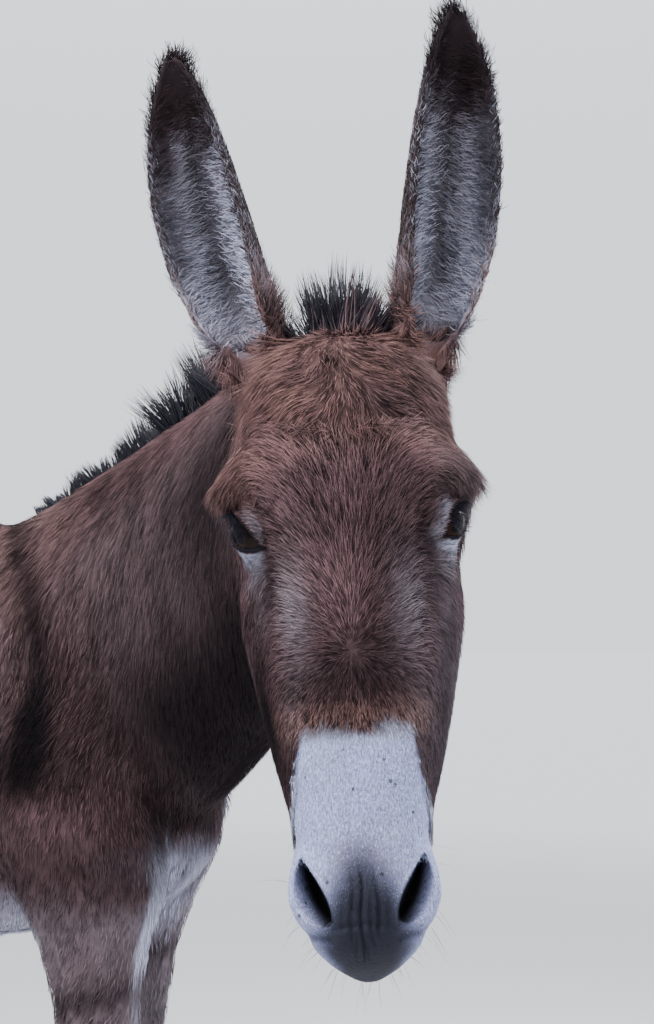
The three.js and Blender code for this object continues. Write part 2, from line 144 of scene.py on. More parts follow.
# ---- Ears: where a point lies on the rolled leaf ----
EAR = {"side": 62, "back": 6, "down": 28, "lean": 2.4, "turn": 26, "length": 320, "wall": 8}
EAR_TILT = {RIGHT: 6, LEFT: 14}
EAR_SHARES = (0, 0.14, 0.3, 0.45, 0.6, 0.75, 0.87, 0.95, 1)
EAR_RADIUS = (27, 38, 45, 47, 46, 40, 30, 19, 7)
EAR_HALF_ANGLE = (150, 126, 108, 98, 92, 90, 88, 88, 88)
EAR_SET_BACK = (0, 2, 4, 5, 5, 3, -1, -6, -10)
EAR_OUTWARDS = (0, 20, 38, 50, 60, 66, 69, 70, 70)


def ear_axes(hand):
    return rotation("Y", -EAR["lean"]) @ rotation("X", EAR_TILT[hand])


def on_ear(points):
    """Up the leaf as a share, across it from rim to rim as -1 to 1, and 1 on its hollow face."""
    head = on_head(points)
    hand = np.where(head[:, 0] < 0, RIGHT, LEFT)
    local = np.empty_like(head)
    for side in (RIGHT, LEFT):
        mine = hand == side
        root = np.array([side * EAR["side"], EAR["back"], -EAR["down"]])
        local[mine] = (head[mine] - root) @ ear_axes(side)
    share = np.clip(local[:, 2] / EAR["length"], 0, 1)
    aside = local[:, 0] - hand * np.interp(share, EAR_SHARES, EAR_OUTWARDS)
    behind = local[:, 1] - np.interp(share, EAR_SHARES, EAR_SET_BACK)
    turn = np.arctan2(aside, behind) + hand * math.radians(EAR["turn"])
    turn = (turn + math.pi) % (2 * math.pi) - math.pi
    across = turn / np.radians(np.interp(share, EAR_SHARES, EAR_HALF_ANGLE))
    radius = np.interp(share, EAR_SHARES, EAR_RADIUS)
    wall = np.minimum(EAR["wall"], radius * 0.55)
    inside = np.hypot(aside, behind) < radius - wall * np.interp(share, (0, 0.2), (0.75, 0.5))
    hollow = (inside & (local[:, 2] > 4)).astype(float)
    return share, across, hollow, hand


def rolled_rim(share, outwards):
    """1 where the ear's inner rim rolls over and shows the short brown hair of its back."""
    start = -np.interp(share, (0, 0.3, 0.6, 0.8), (0.22, 0.40, 0.68, 0.88))
    return rise(start + 0.05, start - 0.08, outwards)


# ---- Eyes: where a point lies round the opening of the lids ----
EYE_RADIUS = 20.6
LID = {"upper": 10.5, "lower": 9.2, "thick": 1.9}
LID_HALF_LENGTH = {RIGHT: 18.8, LEFT: 16.5}
LID_SHIFT = {RIGHT: 0, LEFT: -2.2}  # along the lids, towards the outer corner
FAR = 60  # stands for any distance from the eye at which the lids have no part


def eye_axes(hand):
    """Rows: out of the eye, from its outer to its inner corner, and towards the upper lid."""
    outwards = unit(np.array([hand * 0.84, -0.54, -0.30]))
    along = np.array([-hand * 0.42, -0.40, -0.80])
    along = unit(along - outwards * (along @ outwards))
    upper = np.cross(outwards, along) * -hand
    return np.array([outwards, along, upper])


def eye_middle(hand):
    return np.array([hand * EYE["side"], -EYE["front"], -EYE["down"]])


def round_eye(head, hand):
    """Distance from the eye's middle, how far in front, along, up, and outside the opening."""
    offset = head - eye_middle(hand)
    distance = np.linalg.norm(offset, axis=1)
    ahead, along, up = (unit(offset) @ eye_axes(hand).T).T
    along, up = along * EYE_RADIUS - LID_SHIFT[hand], up * EYE_RADIUS
    share = np.clip(np.abs(along) / LID_HALF_LENGTH[hand], 0, 1)
    half = np.where(up > 0, LID["upper"], LID["lower"]) * (1 - share**2) ** 0.7
    beside = np.maximum(np.abs(along) - LID_HALF_LENGTH[hand], 0)
    outside = np.where(beside > 0, np.hypot(beside, up), np.abs(up) - half)
    outside = np.where(ahead < 0.05, FAR, outside)
    return distance, ahead, along, up, outside


def off_eye(head):
    """How far each point lies outside the nearer opening of the lids."""
    off = np.full(len(head), float(FAR))
    for hand in (RIGHT, LEFT):
        distance, _, _, _, outside = round_eye(head, hand)
        near = distance < 52
        off[near] = np.minimum(off[near], outside[near] + np.maximum(distance[near] - 30, 0) * 0.6)
    return off


# ---- Nostrils: a comma, narrow at the top, that leans towards the middle at its foot ----
NOSTRIL = {"top": (46, 442), "foot": (26, 491), "half_width": 11.0, "bulge": 5.0}


def round_nostril(head):
    """Share of the way out to the nostril's edge, and how far towards its outer lower side."""
    top, foot = np.array(NOSTRIL["top"]), np.array(NOSTRIL["foot"])
    length = np.linalg.norm(foot - top)
    axis = (foot - top) / length
    place = np.stack([np.abs(head[:, 0]), -head[:, 2]], 1) - top
    along = place @ axis / length
    aside = place @ np.array([-axis[1], axis[0]])
    width = NOSTRIL["half_width"] * np.sin(math.pi * np.clip(along, 0.02, 1) ** 1.25) ** 0.62 + 0.3
    aside = aside + NOSTRIL["bulge"] * np.sin(math.pi * np.clip(along, 0, 1))
    share = np.abs(aside) / np.maximum(width, 0.3)
    ends = np.maximum(-along, along - 1) * length
    share = np.where(ends > 0, 1 + np.hypot(ends, aside) / 8, share)
    share = np.where(head[:, 1] > -18, 9, share)
    return share, np.clip(-aside / NOSTRIL["half_width"], -1, 1)


# ---- Markings, shared by the skin and the coat ----
MARKINGS = ("pale", "dark", "warm", "grey")
# Down the face: the whorl, the upper edge of the pale muzzle, how much lower that edge lies on
# the flanks, and the end of the forehead's fluff.
FACE = {"whorl": 294, "muzzle": 348, "flank": 74, "fluff": 124}
ABOVE_EYE = {RIGHT: 0.13, LEFT: 0.38}  # how pale the hair is above each eye
BELOW_EYE = {RIGHT: 26, LEFT: 30}  # how far from the eye's middle the pale patch under it reaches


def on_flank(aside, y, down, start, end):
    """1 on the sides of the nose, past its edge that lies from start to end aside."""
    return np.maximum(rise(start, end, aside - 0.05 * (down - 350)), rise(-50, -10, y))


def wing_fold(x):
    """How far down the fold under the nostril's flaring wing lies."""
    return 498 - 0.18 * (x - 30)


def markings_of_head(points, stray):
    """Shares of pale, dark, reddish and grey hair on the head, some of them painted shade and
    light; `stray` blurs their edges.
    """
    head = on_head(points)
    x, y, down = aside_back_down(head)
    of_right, of_left = head[:, 0] < 0, head[:, 0] > 0
    flank = on_flank(x + 1.5 * stray, y, down, 41, 53)
    edge = FACE["muzzle"] + FACE["flank"] * flank + 7 * bell(x, 0, 15) + 2.8 * stray
    muzzle = rise(edge - 7, edge + 9, down)
    tan = bell(down, 444, 24) * rise(40, 12, x) * rise(-20, -50, y)
    pale = muzzle * (1 - 0.45 * tan - 0.25 * rise(486, 506, down) * (1 + stray))
    warm = (0.85 + 0.3 * stray) * bell(down, FACE["muzzle"] - 8, 14)
    warm = warm * (1 - muzzle) * rise(-30, -60, y)
    forehead = (0.55 + 0.2 * ripple(points, 0.035, 6)) * rise(172, 104, down)
    warm = warm + forehead * (1 - 0.4 * rise(70, 96, x))
    warm = warm + 0.3 * rise(-20, 60, y) * bell(down, 240, 90)
    warm = warm + 0.4 * bell(down, 150, 24) * rise(40, 84, x)
    grey = 1.0 * bell(x, 36, 11) * bell(down, 262, 36) * rise(-40, -62, y)
    grey = grey + 0.45 * bell(x, 66, 9) * bell(down, 240, 30)
    grey = grey + 0.3 * bell(down, 330, 30) * bell(x, 44, 9)
    # Painted light: lilac grey on the left brow only, where sky light falls on that side.
    grey = grey + np.where(of_left, 0.45, 0) * bell(down, 150, 28) * rise(50, 84, x)
    dark = 0.8 * bell(x, 62, 15) * bell(down, 300, 56) * rise(-66, -34, y)
    dark = dark + 0.55 * bell(x, 56, 8) * bell(down, 226, 30) * rise(-40, -60, y)
    dark = dark + 0.6 * bell(x, 12, 26) * bell(down, 306, 38) * rise(-50, -62, y)
    dark = dark + 0.4 * bell(x, 16, 34) * bell(down, 205, 40)
    dark = dark + 0.55 * bell(y, 34, 16) * bell(down, 235, 70) + 0.3 * bell(down, 372, 34) * flank
    # Painted shade: a dark patch on the right cheek only, where the cheek lies in shadow.
    cheek = np.where(of_right, 0.45, 0) * rise(-62, -34, y) * rise(70, 20, y)
    dark = dark + cheek * bell(down, 325, 60)
    # Painted light: lilac grey on the left cheek only, where sky light falls on that side.
    grey = grey + np.where(of_left, 0.75, 0) * rise(-70, -45, y) * bell(down, 320, 80)
    # The nose between the nostrils, and the lips: their own darker skin, deepened with painted
    # shade over the nose's form and under the lips and chin.
    middle = 6 + 17 * rise(430, 500, down)
    nose = rise(420, 484, down + 2.5 * stray) * rise(middle + 22, middle - 12, x)
    nose = nose * rise(-12, -46, y)
    lips = rise(478, 512, down + 1.5 * stray) * rise(22 + 3 * stray, 11, x) * rise(-8, -44, y)
    chin = rise(514, 530, down + stray) * rise(34, 22, x)
    # Painted shade in the fold under the nostril's flaring wing.
    under_wing = 0.3 * bell(down, wing_fold(x), 3.2) * rise(18, 28, x) * rise(62, 50, x)
    under_wing = under_wing * rise(-8, -30, y)
    shaded = 1 - (1 - nose) * (1 - lips) * (1 - 0.9 * chin) * (1 - under_wing)
    dark = dark * (1 - muzzle) + muzzle * 0.99 * (1 - (1 - shaded) ** 1.8)
    for hand in (RIGHT, LEFT):
        distance, ahead, along, up, outside = round_eye(head, hand)
        near = rise(50, 34, distance) * rise(0.0, 0.3, ahead)
        ring = bell(outside, 6.5, 3.6)
        below = ring * rise(2, -7, up) * rise(-14, 2, along) * rise(24, 17, along)
        below = below * (0.1 + 0.75 * rise(BELOW_EYE[hand] + 4, BELOW_EYE[hand] - 4, distance))
        above = ABOVE_EYE[hand] * bell(outside, 6.0, 3.2) * rise(-3, 6, up) * rise(-8, 8, along)
        streak = 0.14 * bell(up, -9, 6) * rise(10, 20, along) * rise(45, 34, distance)
        rim = rise(3.2, 1.4, outside)
        pale = np.maximum(pale, near * np.clip(0.95 * below + above + streak, 0, 1) * (1 - rim))
        dark = np.maximum(dark * (1 - near * below), near * rim)
        corner = bell(along, -20, 8) * bell(up, 2, 8)
        dark = np.maximum(dark, 0.8 * near * corner)
    return pale, dark, warm, grey


def markings_of_ears(points, stray):
    """The same shares on the ears: dark tips and edges, and a pale lining with a dark middle."""
    share, sideways, hollow, hand = on_ear(points)
    outwards = sideways * hand
    tip = rise(0.68, 0.88, share + 0.04 * stray + 0.06 * np.abs(sideways))
    rolled = rolled_rim(share, outwards)
    rim = rise(0.82, 0.94, np.abs(sideways)) * rise(0.2, 0.42, share)
    # The lining fades to brown at the ear's foot: partly the brown hair that covers it there,
    # partly painted shade under that hair.
    lining = hollow * (1 - tip) * (1 - rolled) * rise(0.05, 0.15, share)
    middle = bell(outwards, 0.24 + 0.06 * stray, 0.30) * rise(0.05, 0.25, share)
    middle = hollow * 0.9 * middle * (1 - 0.75 * rise(0.35, 0.12, share))
    edges = np.maximum(0.88 * tip, 0.8 * rim)
    dark = np.maximum(edges, np.maximum(middle, 0.85 * rolled * rise(0.05, 0.42, share)))
    pale = lining * (0.72 + 0.28 * rise(0.1, -0.4, outwards)) * (1 - 0.35 * rim)
    pale = pale * (0.55 + 0.45 * rise(0.75, 0.3, share))
    warm = np.maximum(1 - hollow, rolled) * rise(0.75, 0.2, share) * 0.5
    return pale, dark, warm, 0.15 * (1 - hollow)


def markings(points, normals, regions):
    """Shares of pale, dark, reddish and grey hair at points of the skin, some of them painted
    shade, light and sheen.
    """
    body = on_body(points)
    stray = ripple(points, 0.02, 3) + 0.6 * ripple(points, 0.007, 4)
    of_head = share_of(regions, "head")
    pale, dark, warm, grey = (value * of_head for value in markings_of_head(points, stray))
    # The body: cross, belly, breast and legs.
    across, back, up = np.abs(body[:, 0]), body[:, 1], body[:, 2]
    of_trunk = share_of(regions, "trunk", "neck")
    of_neck = share_of(regions, "neck")
    of_leg = share_of(regions, "leg")
    waver = 9 * ripple(points, 0.11, 5)
    stripe_at = np.interp(up, (830, 929, 1118, 1190), (-144, -132, -86, -30))
    stripe = bell(back + waver, stripe_at, 23) * rise(800, 900, up) * of_trunk
    dorsal = bell(across, 0, 17) * rise(-60, 10, back) * rise(880, 940, up)
    belly = rise(-0.2, -0.72, normals[:, 2]) * rise(800, 740, up + waver)
    breast = 1.15 * rise(838, 786, up + 1.6 * waver) * rise(-120, -190, back)
    inwards = -0.75 * normals[:, 0] * np.sign(body[:, 0]) - 0.6 * normals[:, 1] * (back < 200)
    inner = rise(0.12, 0.6, inwards) * rise(330, 480, up) * (0.2 + 0.8 * rise(672, 722, up))
    inner = inner * np.where(body[:, 0] > 0, 0.35, 1)
    bar_slope = up + 0.25 * back
    bars = bell(bar_slope, 622, 13) + 0.7 * bell(bar_slope, 540, 12)
    bars = bars + 0.6 * bell(bar_slope, 470, 12)
    dark = dark + 0.85 * stripe + 0.8 * dorsal + of_leg * 0.7 * bars * (1 - inner)
    dark = dark + of_leg * 0.5 * rise(128, 80, up)
    pale = np.maximum(pale, of_trunk * np.maximum(0.85 * belly, 0.98 * np.minimum(breast, 1)))
    pale = np.maximum(pale, of_leg * np.maximum(inner, 0.5 * rise(330, 180, up)))
    between_legs = 0.9 * breast * rise(112, 78, across) * rise(650, 730, up)
    pale = np.maximum(pale, of_leg * np.maximum(0.75 * belly, between_legs))
    toward_head = (body - NECK_FOOT) @ NECK_AHEAD
    crest = (body - NECK_FOOT) @ NECK_UP
    # Painted shade: darker hair on the lower neck, and behind the jaw more on the right side, where
    # shadow falls.
    shade = rise(30, -130, crest + 1.5 * waver) * rise(-60, 60, toward_head)
    behind_jaw = rise(330, 520, toward_head) * rise(120, 20, crest)
    shade = np.maximum(shade, behind_jaw * np.where(body[:, 0] < 0, 0.8, 0.35))
    shade = shade * (1 - np.maximum(belly, breast))
    dark = dark + 0.95 * shade * np.maximum(of_neck, 0.7 * of_trunk)
    upper_arm = bell(up, 800, 42) * rise(-60, -130, back) * rise(40, 90, across)
    dark = dark + 0.5 * upper_arm * (of_leg + of_trunk)
    # Grey on the legs is their own colour; the grey on the front of the trunk, on the neck and on
    # the lower neck is painted sheen.
    grey = grey + of_leg * 0.45 * rise(790, 730, up + waver) + of_trunk * 0.15 * bell(back, -60, 60)
    grey = grey + 0.3 * of_neck * rise(150, 60, crest)
    # Painted light: reddish and lighter on the crest near the withers, where light falls on the top
    # of the neck; the trunk's slight reddish tone elsewhere is its own.
    warm = warm + of_trunk * (0.5 * rise(0, 120, crest) * rise(320, 120, toward_head) + 0.1)
    dark = dark + share_of(regions, "tail") * (0.3 + 0.5 * rise(900, 780, up))
    of_ear = share_of(regions, "ear")
    both = zip((pale, dark, warm, grey), markings_of_ears(points, stray))
    shares = [np.clip(blend(mine, of_ears, of_ear), 0, 1) for mine, of_ears in both]
    return dict(zip(MARKINGS, shares))


# ---- The lie of the coat ----
def flow_on_head(head, facing):
    """Up and outwards from the whorl like a fountain, down below it and down the cheeks."""
    away, side = np.abs(head[:, 0]), np.sign(head[:, 0])
    above = FACE["whorl"] + head[:, 2]
    turn = np.arctan2(away, above * np.where(above > 0, 0.55, 1.9))
    turn = turn + math.radians(48) * rise(48, 100, away) * rise(-30, 50, above)
    fluff = rise(FACE["fluff"] + 12, FACE["fluff"] - 14, -head[:, 2] + 0.25 * away)
    turn = turn + math.radians(42) * rise(215, 130, -head[:, 2]) * rise(8, 60, away)
    tossed = 0.5 * np.sin(head[:, 0] / 8 + head[:, 2] / 15) * rise(4, 16, away)
    turn = blend(turn, np.radians(176 - 1.25 * np.minimum(away, 62)) + tossed, fluff)
    front = np.stack([side * np.sin(turn), np.zeros_like(turn), np.cos(turn)], 1)
    cheek = np.array([0, 0.42, -0.9])
    aside = rise(0.45, 0.85, np.abs(facing[:, 0]) + np.maximum(facing[:, 1], 0))
    muzzle = rise(FACE["muzzle"] - 20, FACE["muzzle"] + 20, -head[:, 2])
    aside = aside * (1 - muzzle)
    flow = blend(front, cheek, aside[:, None])
    nose = np.stack([side * 0.3, np.zeros_like(turn), -np.ones_like(turn)], 1)
    return blend(flow, nose, muzzle[:, None])


def flow_on_ear(points, facing_head):
    """Up the back of the leaf; in the hollow, from both rims across and up."""
    _, across, hollow, _ = on_ear(points)
    tangent = np.stack([-facing_head[:, 1], facing_head[:, 0], np.zeros(len(points))], 1)
    toward_middle = np.where(across > 0, -1, 1)[:, None] * unit(tangent)
    up = np.array([0, 0, 1.0])
    inside = toward_middle * 0.9 + up * 0.75
    return blend(np.tile(up, (len(points), 1)), inside, hollow[:, None])


def flow(points, normals, regions):
    head, body = on_head(points), on_body(points)
    facing = normals @ HEAD_AXES
    lies = {
        "head": flow_on_head(head, facing) @ HEAD_AXES.T,
        "ear": flow_on_ear(points, facing) @ HEAD_AXES.T,
        "neck": np.tile([0.05, 0.14, -0.98], (len(points), 1)),
        "leg": np.tile([0, 0.25, -1.0], (len(points), 1)),
        "tail": np.tile([0, 0.1, -1.0], (len(points), 1)),
    }
    rump = rise(760, 880, body[:, 1])
    front = rise(330, 0, body[:, 1])
    back = blend(0.95, 0.2, np.maximum(rump, front))
    down = blend(-0.5 * np.abs(normals[:, 0]), -0.95, np.maximum(rump, front))
    trunk = np.stack([np.zeros(len(points)), back, down], 1)
    lies["trunk"] = trunk
    total = sum(regions[:, [i]] * unit(lies[name]) for i, name in enumerate(REGIONS))
    sway = 0.16 * np.stack([ripple(points, 0.09, 11 + axis) for axis in range(3)], 1)
    total = unit(total) + sway
    return unit(total - normals * (total * normals).sum(1, keepdims=True))


# ---- The coat's length, thickness and depth ----
def coat_on_head(head):
    """The tufts' length, width and depth in millimetres, and how thickly they stand."""
    x, y, down = aside_back_down(head)
    fluff = rise(150, 105, down)
    brow = bell(down, 158, 26) * rise(66, 92, x)
    side = rise(-52, -20, y)
    rear = rise(30, 80, y)
    upper = rise(300, 225, down)
    longer = 1 + 0.75 * upper + 0.1 * fluff + 0.1 * brow + 0.2 * side + 0.4 * rear
    length = donkey_sizes().face_hair / MM * longer
    width = 0.52 + 0.1 * fluff + 0.15 * side + 0.45 * rear
    depth = 3.0 + 3.2 * fluff + 1.0 * brow + 1.2 * side + 2.5 * rear
    number = 1 - 0.2 * fluff - 0.2 * side - 0.5 * rear
    band = bell(down, FACE["muzzle"] - 10, 14) * rise(-30, -60, y)
    length = length * (1 - 0.3 * band)
    edge = FACE["muzzle"] + FACE["flank"] * on_flank(x, y, down, 42, 51)
    muzzle = rise(edge - 4, edge + 12, down)
    length = blend(length, 2.6, muzzle)
    width = blend(width, 0.42, muzzle)
    depth = blend(depth, 0.7, muzzle)
    number = blend(number, 0.22, muzzle)
    off = off_eye(head)
    at_ear = rise(56, 36, np.hypot(x - EAR["side"], y - EAR["back"])) * rise(70, 40, down)
    length = length * (1 + 0.45 * at_ear)
    depth = depth + 2.5 * at_ear
    number = number * (1 + 1.6 * at_ear)
    near = rise(16, 2, off)
    length = blend(length, 2.0 + 0.25 * np.maximum(off, 0), near)
    width = blend(width, 0.5, near)
    depth = blend(depth, 0.7, near)
    number = np.where(off < 0.9, 0, number * (1 + 0.6 * near))
    inside, _ = round_nostril(head)
    number = np.where(inside < 1.15, 0, number)
    number = number * (1 - 0.9 * rise(470, 495, down))
    return length, width, depth, number


def coat_on_legs(body):
    """The same measures on the legs: finer downwards, longer over the hooves."""
    up = body[:, 2]
    fine, coronet = rise(700, 380, up), rise(100, 78, up)
    forearm = np.where(body[:, 0] < 0, 1.4, 1.1) * rise(560, 640, up) * (body[:, 1] < 200)
    return (
        donkey_sizes().leg_hair / MM * (1.5 - 0.5 * fine) + 9 * coronet,
        0.95 - 0.15 * fine,
        blend(4.2, 2.2, fine) + 2.5 * coronet,
        0.8 + 2.4 * coronet + 0.4 * fine + forearm,
    )


def coat_on_ears(points):
    """The same measures on the ears: longer in the hollow, thicker at the foot."""
    share, _, hollow, _ = on_ear(points)
    foot = rise(0.12, 0, share)
    return (
        blend(9.0, 20.0, hollow) * (1 - 0.25 * rise(0.6, 0.9, share)) + 9 * foot,
        blend(0.9, 0.75, hollow),
        1.4 + 3 * foot,
        1 + 2.6 * rise(0.14, 0.02, share),
    )


def coat(points, regions):
    """The same measures at points of the skin, blended over the regions."""
    body_hair = donkey_sizes().body_hair / MM
    each = {
        "head": coat_on_head(on_head(points)),
        "neck": (body_hair * 0.8, 0.76, 6.0, 1.0),
        "trunk": (body_hair * 0.9, 0.95, 7.0, 0.7),
        "leg": coat_on_legs(on_body(points)),
        "tail": (24.0, 1.6, 4.0, 0.8),
        "ear": coat_on_ears(points),
    }
    return [
        sum(regions[:, i] * each[name][measure] for i, name in enumerate(REGIONS))
        for measure in range(4)
    ]


# ---- Settings ----
def colour(name, value, description):
    return FloatVectorProperty(
        name=name, description=description, default=value, subtype="COLOR", size=3, min=0, max=1
    )


def in_metres(name, value, description):
    return FloatProperty(name=name, description=description, default=value, unit="LENGTH")


class DonkeySizes(bpy.types.PropertyGroup):
    face_hair: in_metres("Face hair", 0.0125, "Length of the hair of the face")
    body_hair: in_metres("Body hair", 0.034, "Length of the hair of the trunk")
    leg_hair: in_metres("Leg hair", 0.013, "Length of the hair of the lower legs")
    skin_grain: in_metres("Skin grain", 0.0045, "Size of the skin's grid when it is made whole")
    skin_triangles: IntProperty(
        name="Skin triangles",
        description="How many triangles the finished skin has",
        default=170000,
    )


class DonkeyColours(bpy.types.PropertyGroup):
    brown_root: colour("Brown, root", (0.0125, 0.0075, 0.009), "Brown hair near the skin")
    brown_tip: colour("Brown, tip", (0.2, 0.116, 0.13), "Brown hair at its tip")
    warm: colour("Reddish brown", (0.42, 0.235, 0.200), "Reddish hair of the forehead and nose")
    grey: colour("Grey brown", (0.27, 0.235, 0.27), "Greyish hair of the face and legs")
    pale: colour("Pale skin", (0.295, 0.34, 0.60), "Skin and shortest hair of the muzzle and belly")
    white: colour("Pale hair, tip", (0.70, 0.74, 0.94), "Tips of the pale hair")
    dark: colour("Dark hair", (0.0085, 0.006, 0.008), "Dark hair of the cross, ear tips and lids")
    black: colour("Long hair", (0.005, 0.005, 0.009), "Hair of the mane, forelock and tail")
    skin: colour("Dark skin", (0.014, 0.014, 0.022), "Bare skin of the lids, nostrils and lips")
    horn: colour("Horn", (0.022, 0.020, 0.020), "Horn of the hooves")
    iris: colour("Iris", (0.022, 0.009, 0.005), "Iris of the eye")
    floor: colour("Floor", (0.62, 0.62, 0.62), "Studio floor")


def donkey_sizes():
    return bpy.context.scene.donkey_sizes


def donkey_colours():
    return bpy.context.scene.donkey_colours


# The studio's backdrop: its tone, how bright it is behind the animal, in front of it and overhead,
# and how far out the floor runs into it.
BACKDROP = {
    "tone": (0.90, 0.94, 1.0),
    "strength": 1.5,
    "front": 0.2,
    "overhead": 0.9,
    "near": 2.0,
    "far": 6.0,
}


# ---- Shaders ----
class Wire:
    """One output socket. Arithmetic on it adds Math nodes."""

    def __init__(self, shader, socket):
        self.shader = shader
        self.socket = socket

    def math(self, operation, *inputs):
        return self.shader.node("ShaderNodeMath", {"operation": operation}, dict(enumerate(inputs)))

    def __add__(self, other):
        return self.math("ADD", self, other)

    def __sub__(self, other):
        return self.math("SUBTRACT", self, other)

    def __mul__(self, other):
        return self.math("MULTIPLY", self, other)

    def __truediv__(self, other):
        return self.math("DIVIDE", self, other)

    def __pow__(self, other):
        return self.math("POWER", self, other)

    def __gt__(self, other):
        return self.math("GREATER_THAN", self, other)

    def __radd__(self, other):
        return self.math("ADD", other, self)

    def __rsub__(self, other):
        return self.math("SUBTRACT", other, self)

    def __rmul__(self, other):
        return self.math("MULTIPLY", other, self)

    def limited(self):
        return self.shader.node("ShaderNodeClamp", {}, {"Value": self})

    def stepped(self, start, end):
        """A smooth step from 0 at start to 1 at end."""
        settings = {"interpolation_type": "SMOOTHSTEP"}
        inputs = {"Value": self, "From Min": start, "From Max": end}
        if start > end:
            inputs.update({"From Min": end, "From Max": start, "To Min": 1.0, "To Max": 0.0})
        return self.shader.node("ShaderNodeMapRange", settings, inputs)


class Shader:
    """A material's node tree and the ways of adding to it."""

    def __init__(self, name):
        self.material = bpy.data.materials.new(name)
        self.material.use_nodes = True
        self.tree = self.material.node_tree
        self.tree.nodes.clear()

    def node(self, kind, settings=None, inputs=None, output=0):
        node = self.tree.nodes.new(kind)
        for name, value in (settings or {}).items():
            setattr(node, name, value)
        for key, value in (inputs or {}).items():
            if isinstance(value, Wire):
                self.tree.links.new(value.socket, node.inputs[key])
            else:
                node.inputs[key].default_value = value
        return Wire(self, node.outputs[output]) if node.outputs else node

    def attribute(self, name):
        return self.node("ShaderNodeAttribute", {"attribute_name": name}, output="Fac")

    def place(self):
        return self.node("ShaderNodeTexCoord", output="Object")

    def noise(self, scale, detail=3.0, vector=None):
        inputs = {"Scale": scale, "Detail": detail, "Vector": vector or self.place()}
        return self.node("ShaderNodeTexNoise", {}, inputs)

    def stretched(self, scale):
        return self.node("ShaderNodeMapping", {}, {"Vector": self.place(), "Scale": scale})

    def mix(self, share, first, second):
        first = first if isinstance(first, Wire) else (*first, 1)
        second = second if isinstance(second, Wire) else (*second, 1)
        settings = {"data_type": "RGBA"}
        return self.node("ShaderNodeMix", settings, {0: share, 6: first, 7: second}, output=2)

    def bump(self, height, strength, distance):
        inputs = {"Height": height, "Strength": strength, "Distance": distance}
        return self.node("ShaderNodeBump", {}, inputs)

    def finish(self, inputs):
        surface = self.node("ShaderNodeBsdfPrincipled", {}, inputs)
        self.node("ShaderNodeOutputMaterial", {}, {"Surface": surface})
        return self.material


def hair_colour(shader, along, tint, bright):
    """The animal's hair colours from the markings, shared by the coat and the skin under it."""
    tones = donkey_colours()
    patch = shader.noise(9.0, 4.0)
    # Darker towards the root: partly the hair's own darker base, partly painted shade deep in the
    # coat.
    light = (0.9 * along * (0.05 + 1.4 * tint) + 0.6 * (patch - 0.5)).limited()
    mixed = shader.mix(light, tones.brown_root, tones.brown_tip)
    mixed = shader.mix(shader.attribute("warm") * light, mixed, tones.warm)
    greyed = (shader.attribute("grey") * (0.25 + 0.8 * light)).limited()
    mixed = shader.mix(greyed, mixed, tones.grey)
    # Pale hair darkens to a blue-grey painted shade colour at its root and in its darker tufts.
    pale = shader.mix((0.15 + 0.5 * along + 0.6 * tint).limited(), (0.13, 0.135, 0.19), bright)
    mixed = shader.mix(shader.attribute("pale"), mixed, pale)
    return shader.mix(shader.attribute("dark"), mixed, tones.dark)


def coat_material():
    shader = Shader("donkey_coat")
    along = shader.attribute("along")
    tint = shader.attribute("tint")
    tone = hair_colour(shader, along, tint, donkey_colours().white)
    return shader.finish({"Base Color": tone, "Roughness": 0.6, "Specular IOR Level": 0.07})


def skin_material():
    shader = Shader("donkey_skin")
    tones = donkey_colours()
    fine = shader.noise(420.0, 3.0)
    coarse = shader.noise(60.0, 4.0)
    under = shader.attribute("under")
    streaks = shader.noise(1.0, 4.0, shader.stretched((620.0, 620.0, 90.0)))
    bright = shader.mix(under, (0.37, 0.37, 0.47), tones.pale)
    tone = hair_colour(shader, 0.18 + 0.4 * under + 0.45 * streaks + 0.1 * fine, coarse, bright)
    cells = {"Vector": shader.place(), "Scale": 120.0}
    pores = shader.node("ShaderNodeTexVoronoi", {}, cells)
    chosen = shader.node("ShaderNodeTexVoronoi", {}, cells, "Color")
    kept = shader.node("ShaderNodeSeparateColor", {}, {"Color": chosen}) > 0.6
    specks = pores.stepped(0.26, 0.12) * kept * under
    plain = 1 - shader.attribute("dark")
    strokes = shader.noise(1.0, 3.0, shader.stretched((900.0, 900.0, 300.0)))
    broad = shader.noise(24.0, 3.0)
    tone = shader.mix((under * plain * (broad - 0.42) * 3.2).limited(), tone, (0.26, 0.285, 0.46))
    tone = shader.mix((under * plain * (strokes - 0.49) * 6.0).limited(), tone, (0.15, 0.16, 0.26))
    tone = shader.mix((under * plain * (0.46 - strokes) * 4.0).limited(), tone, (0.54, 0.58, 0.86))
    # The muzzle's dark nose, lips and chin: their own darker skin, deepened with painted shade
    # where the lips face down.
    tone = shader.mix(under * shader.attribute("dark") * 0.86, tone, (0.016, 0.018, 0.028))
    tone = shader.mix((specks * 0.8).limited(), tone, tones.skin)
    tone = shader.mix(shader.attribute("bare"), tone, tones.skin)
    # Painted shade: near black deep in the nostrils and along the nose's grooves.
    tone = shader.mix(shader.attribute("deep_shade"), tone, (0.0006, 0.0006, 0.001))
    height = 0.5 * streaks + 0.35 * fine + 0.6 * coarse * 0.3
    rough = 0.72 - 0.26 * shader.attribute("bare") + 0.4 * shader.attribute("deep_shade")
    return shader.finish(
        {
            "Base Color": tone,
            "Roughness": rough.limited(),
            "Specular IOR Level": 0.08,
            "Normal": shader.bump(height, 0.8, 0.002),
        }
    )


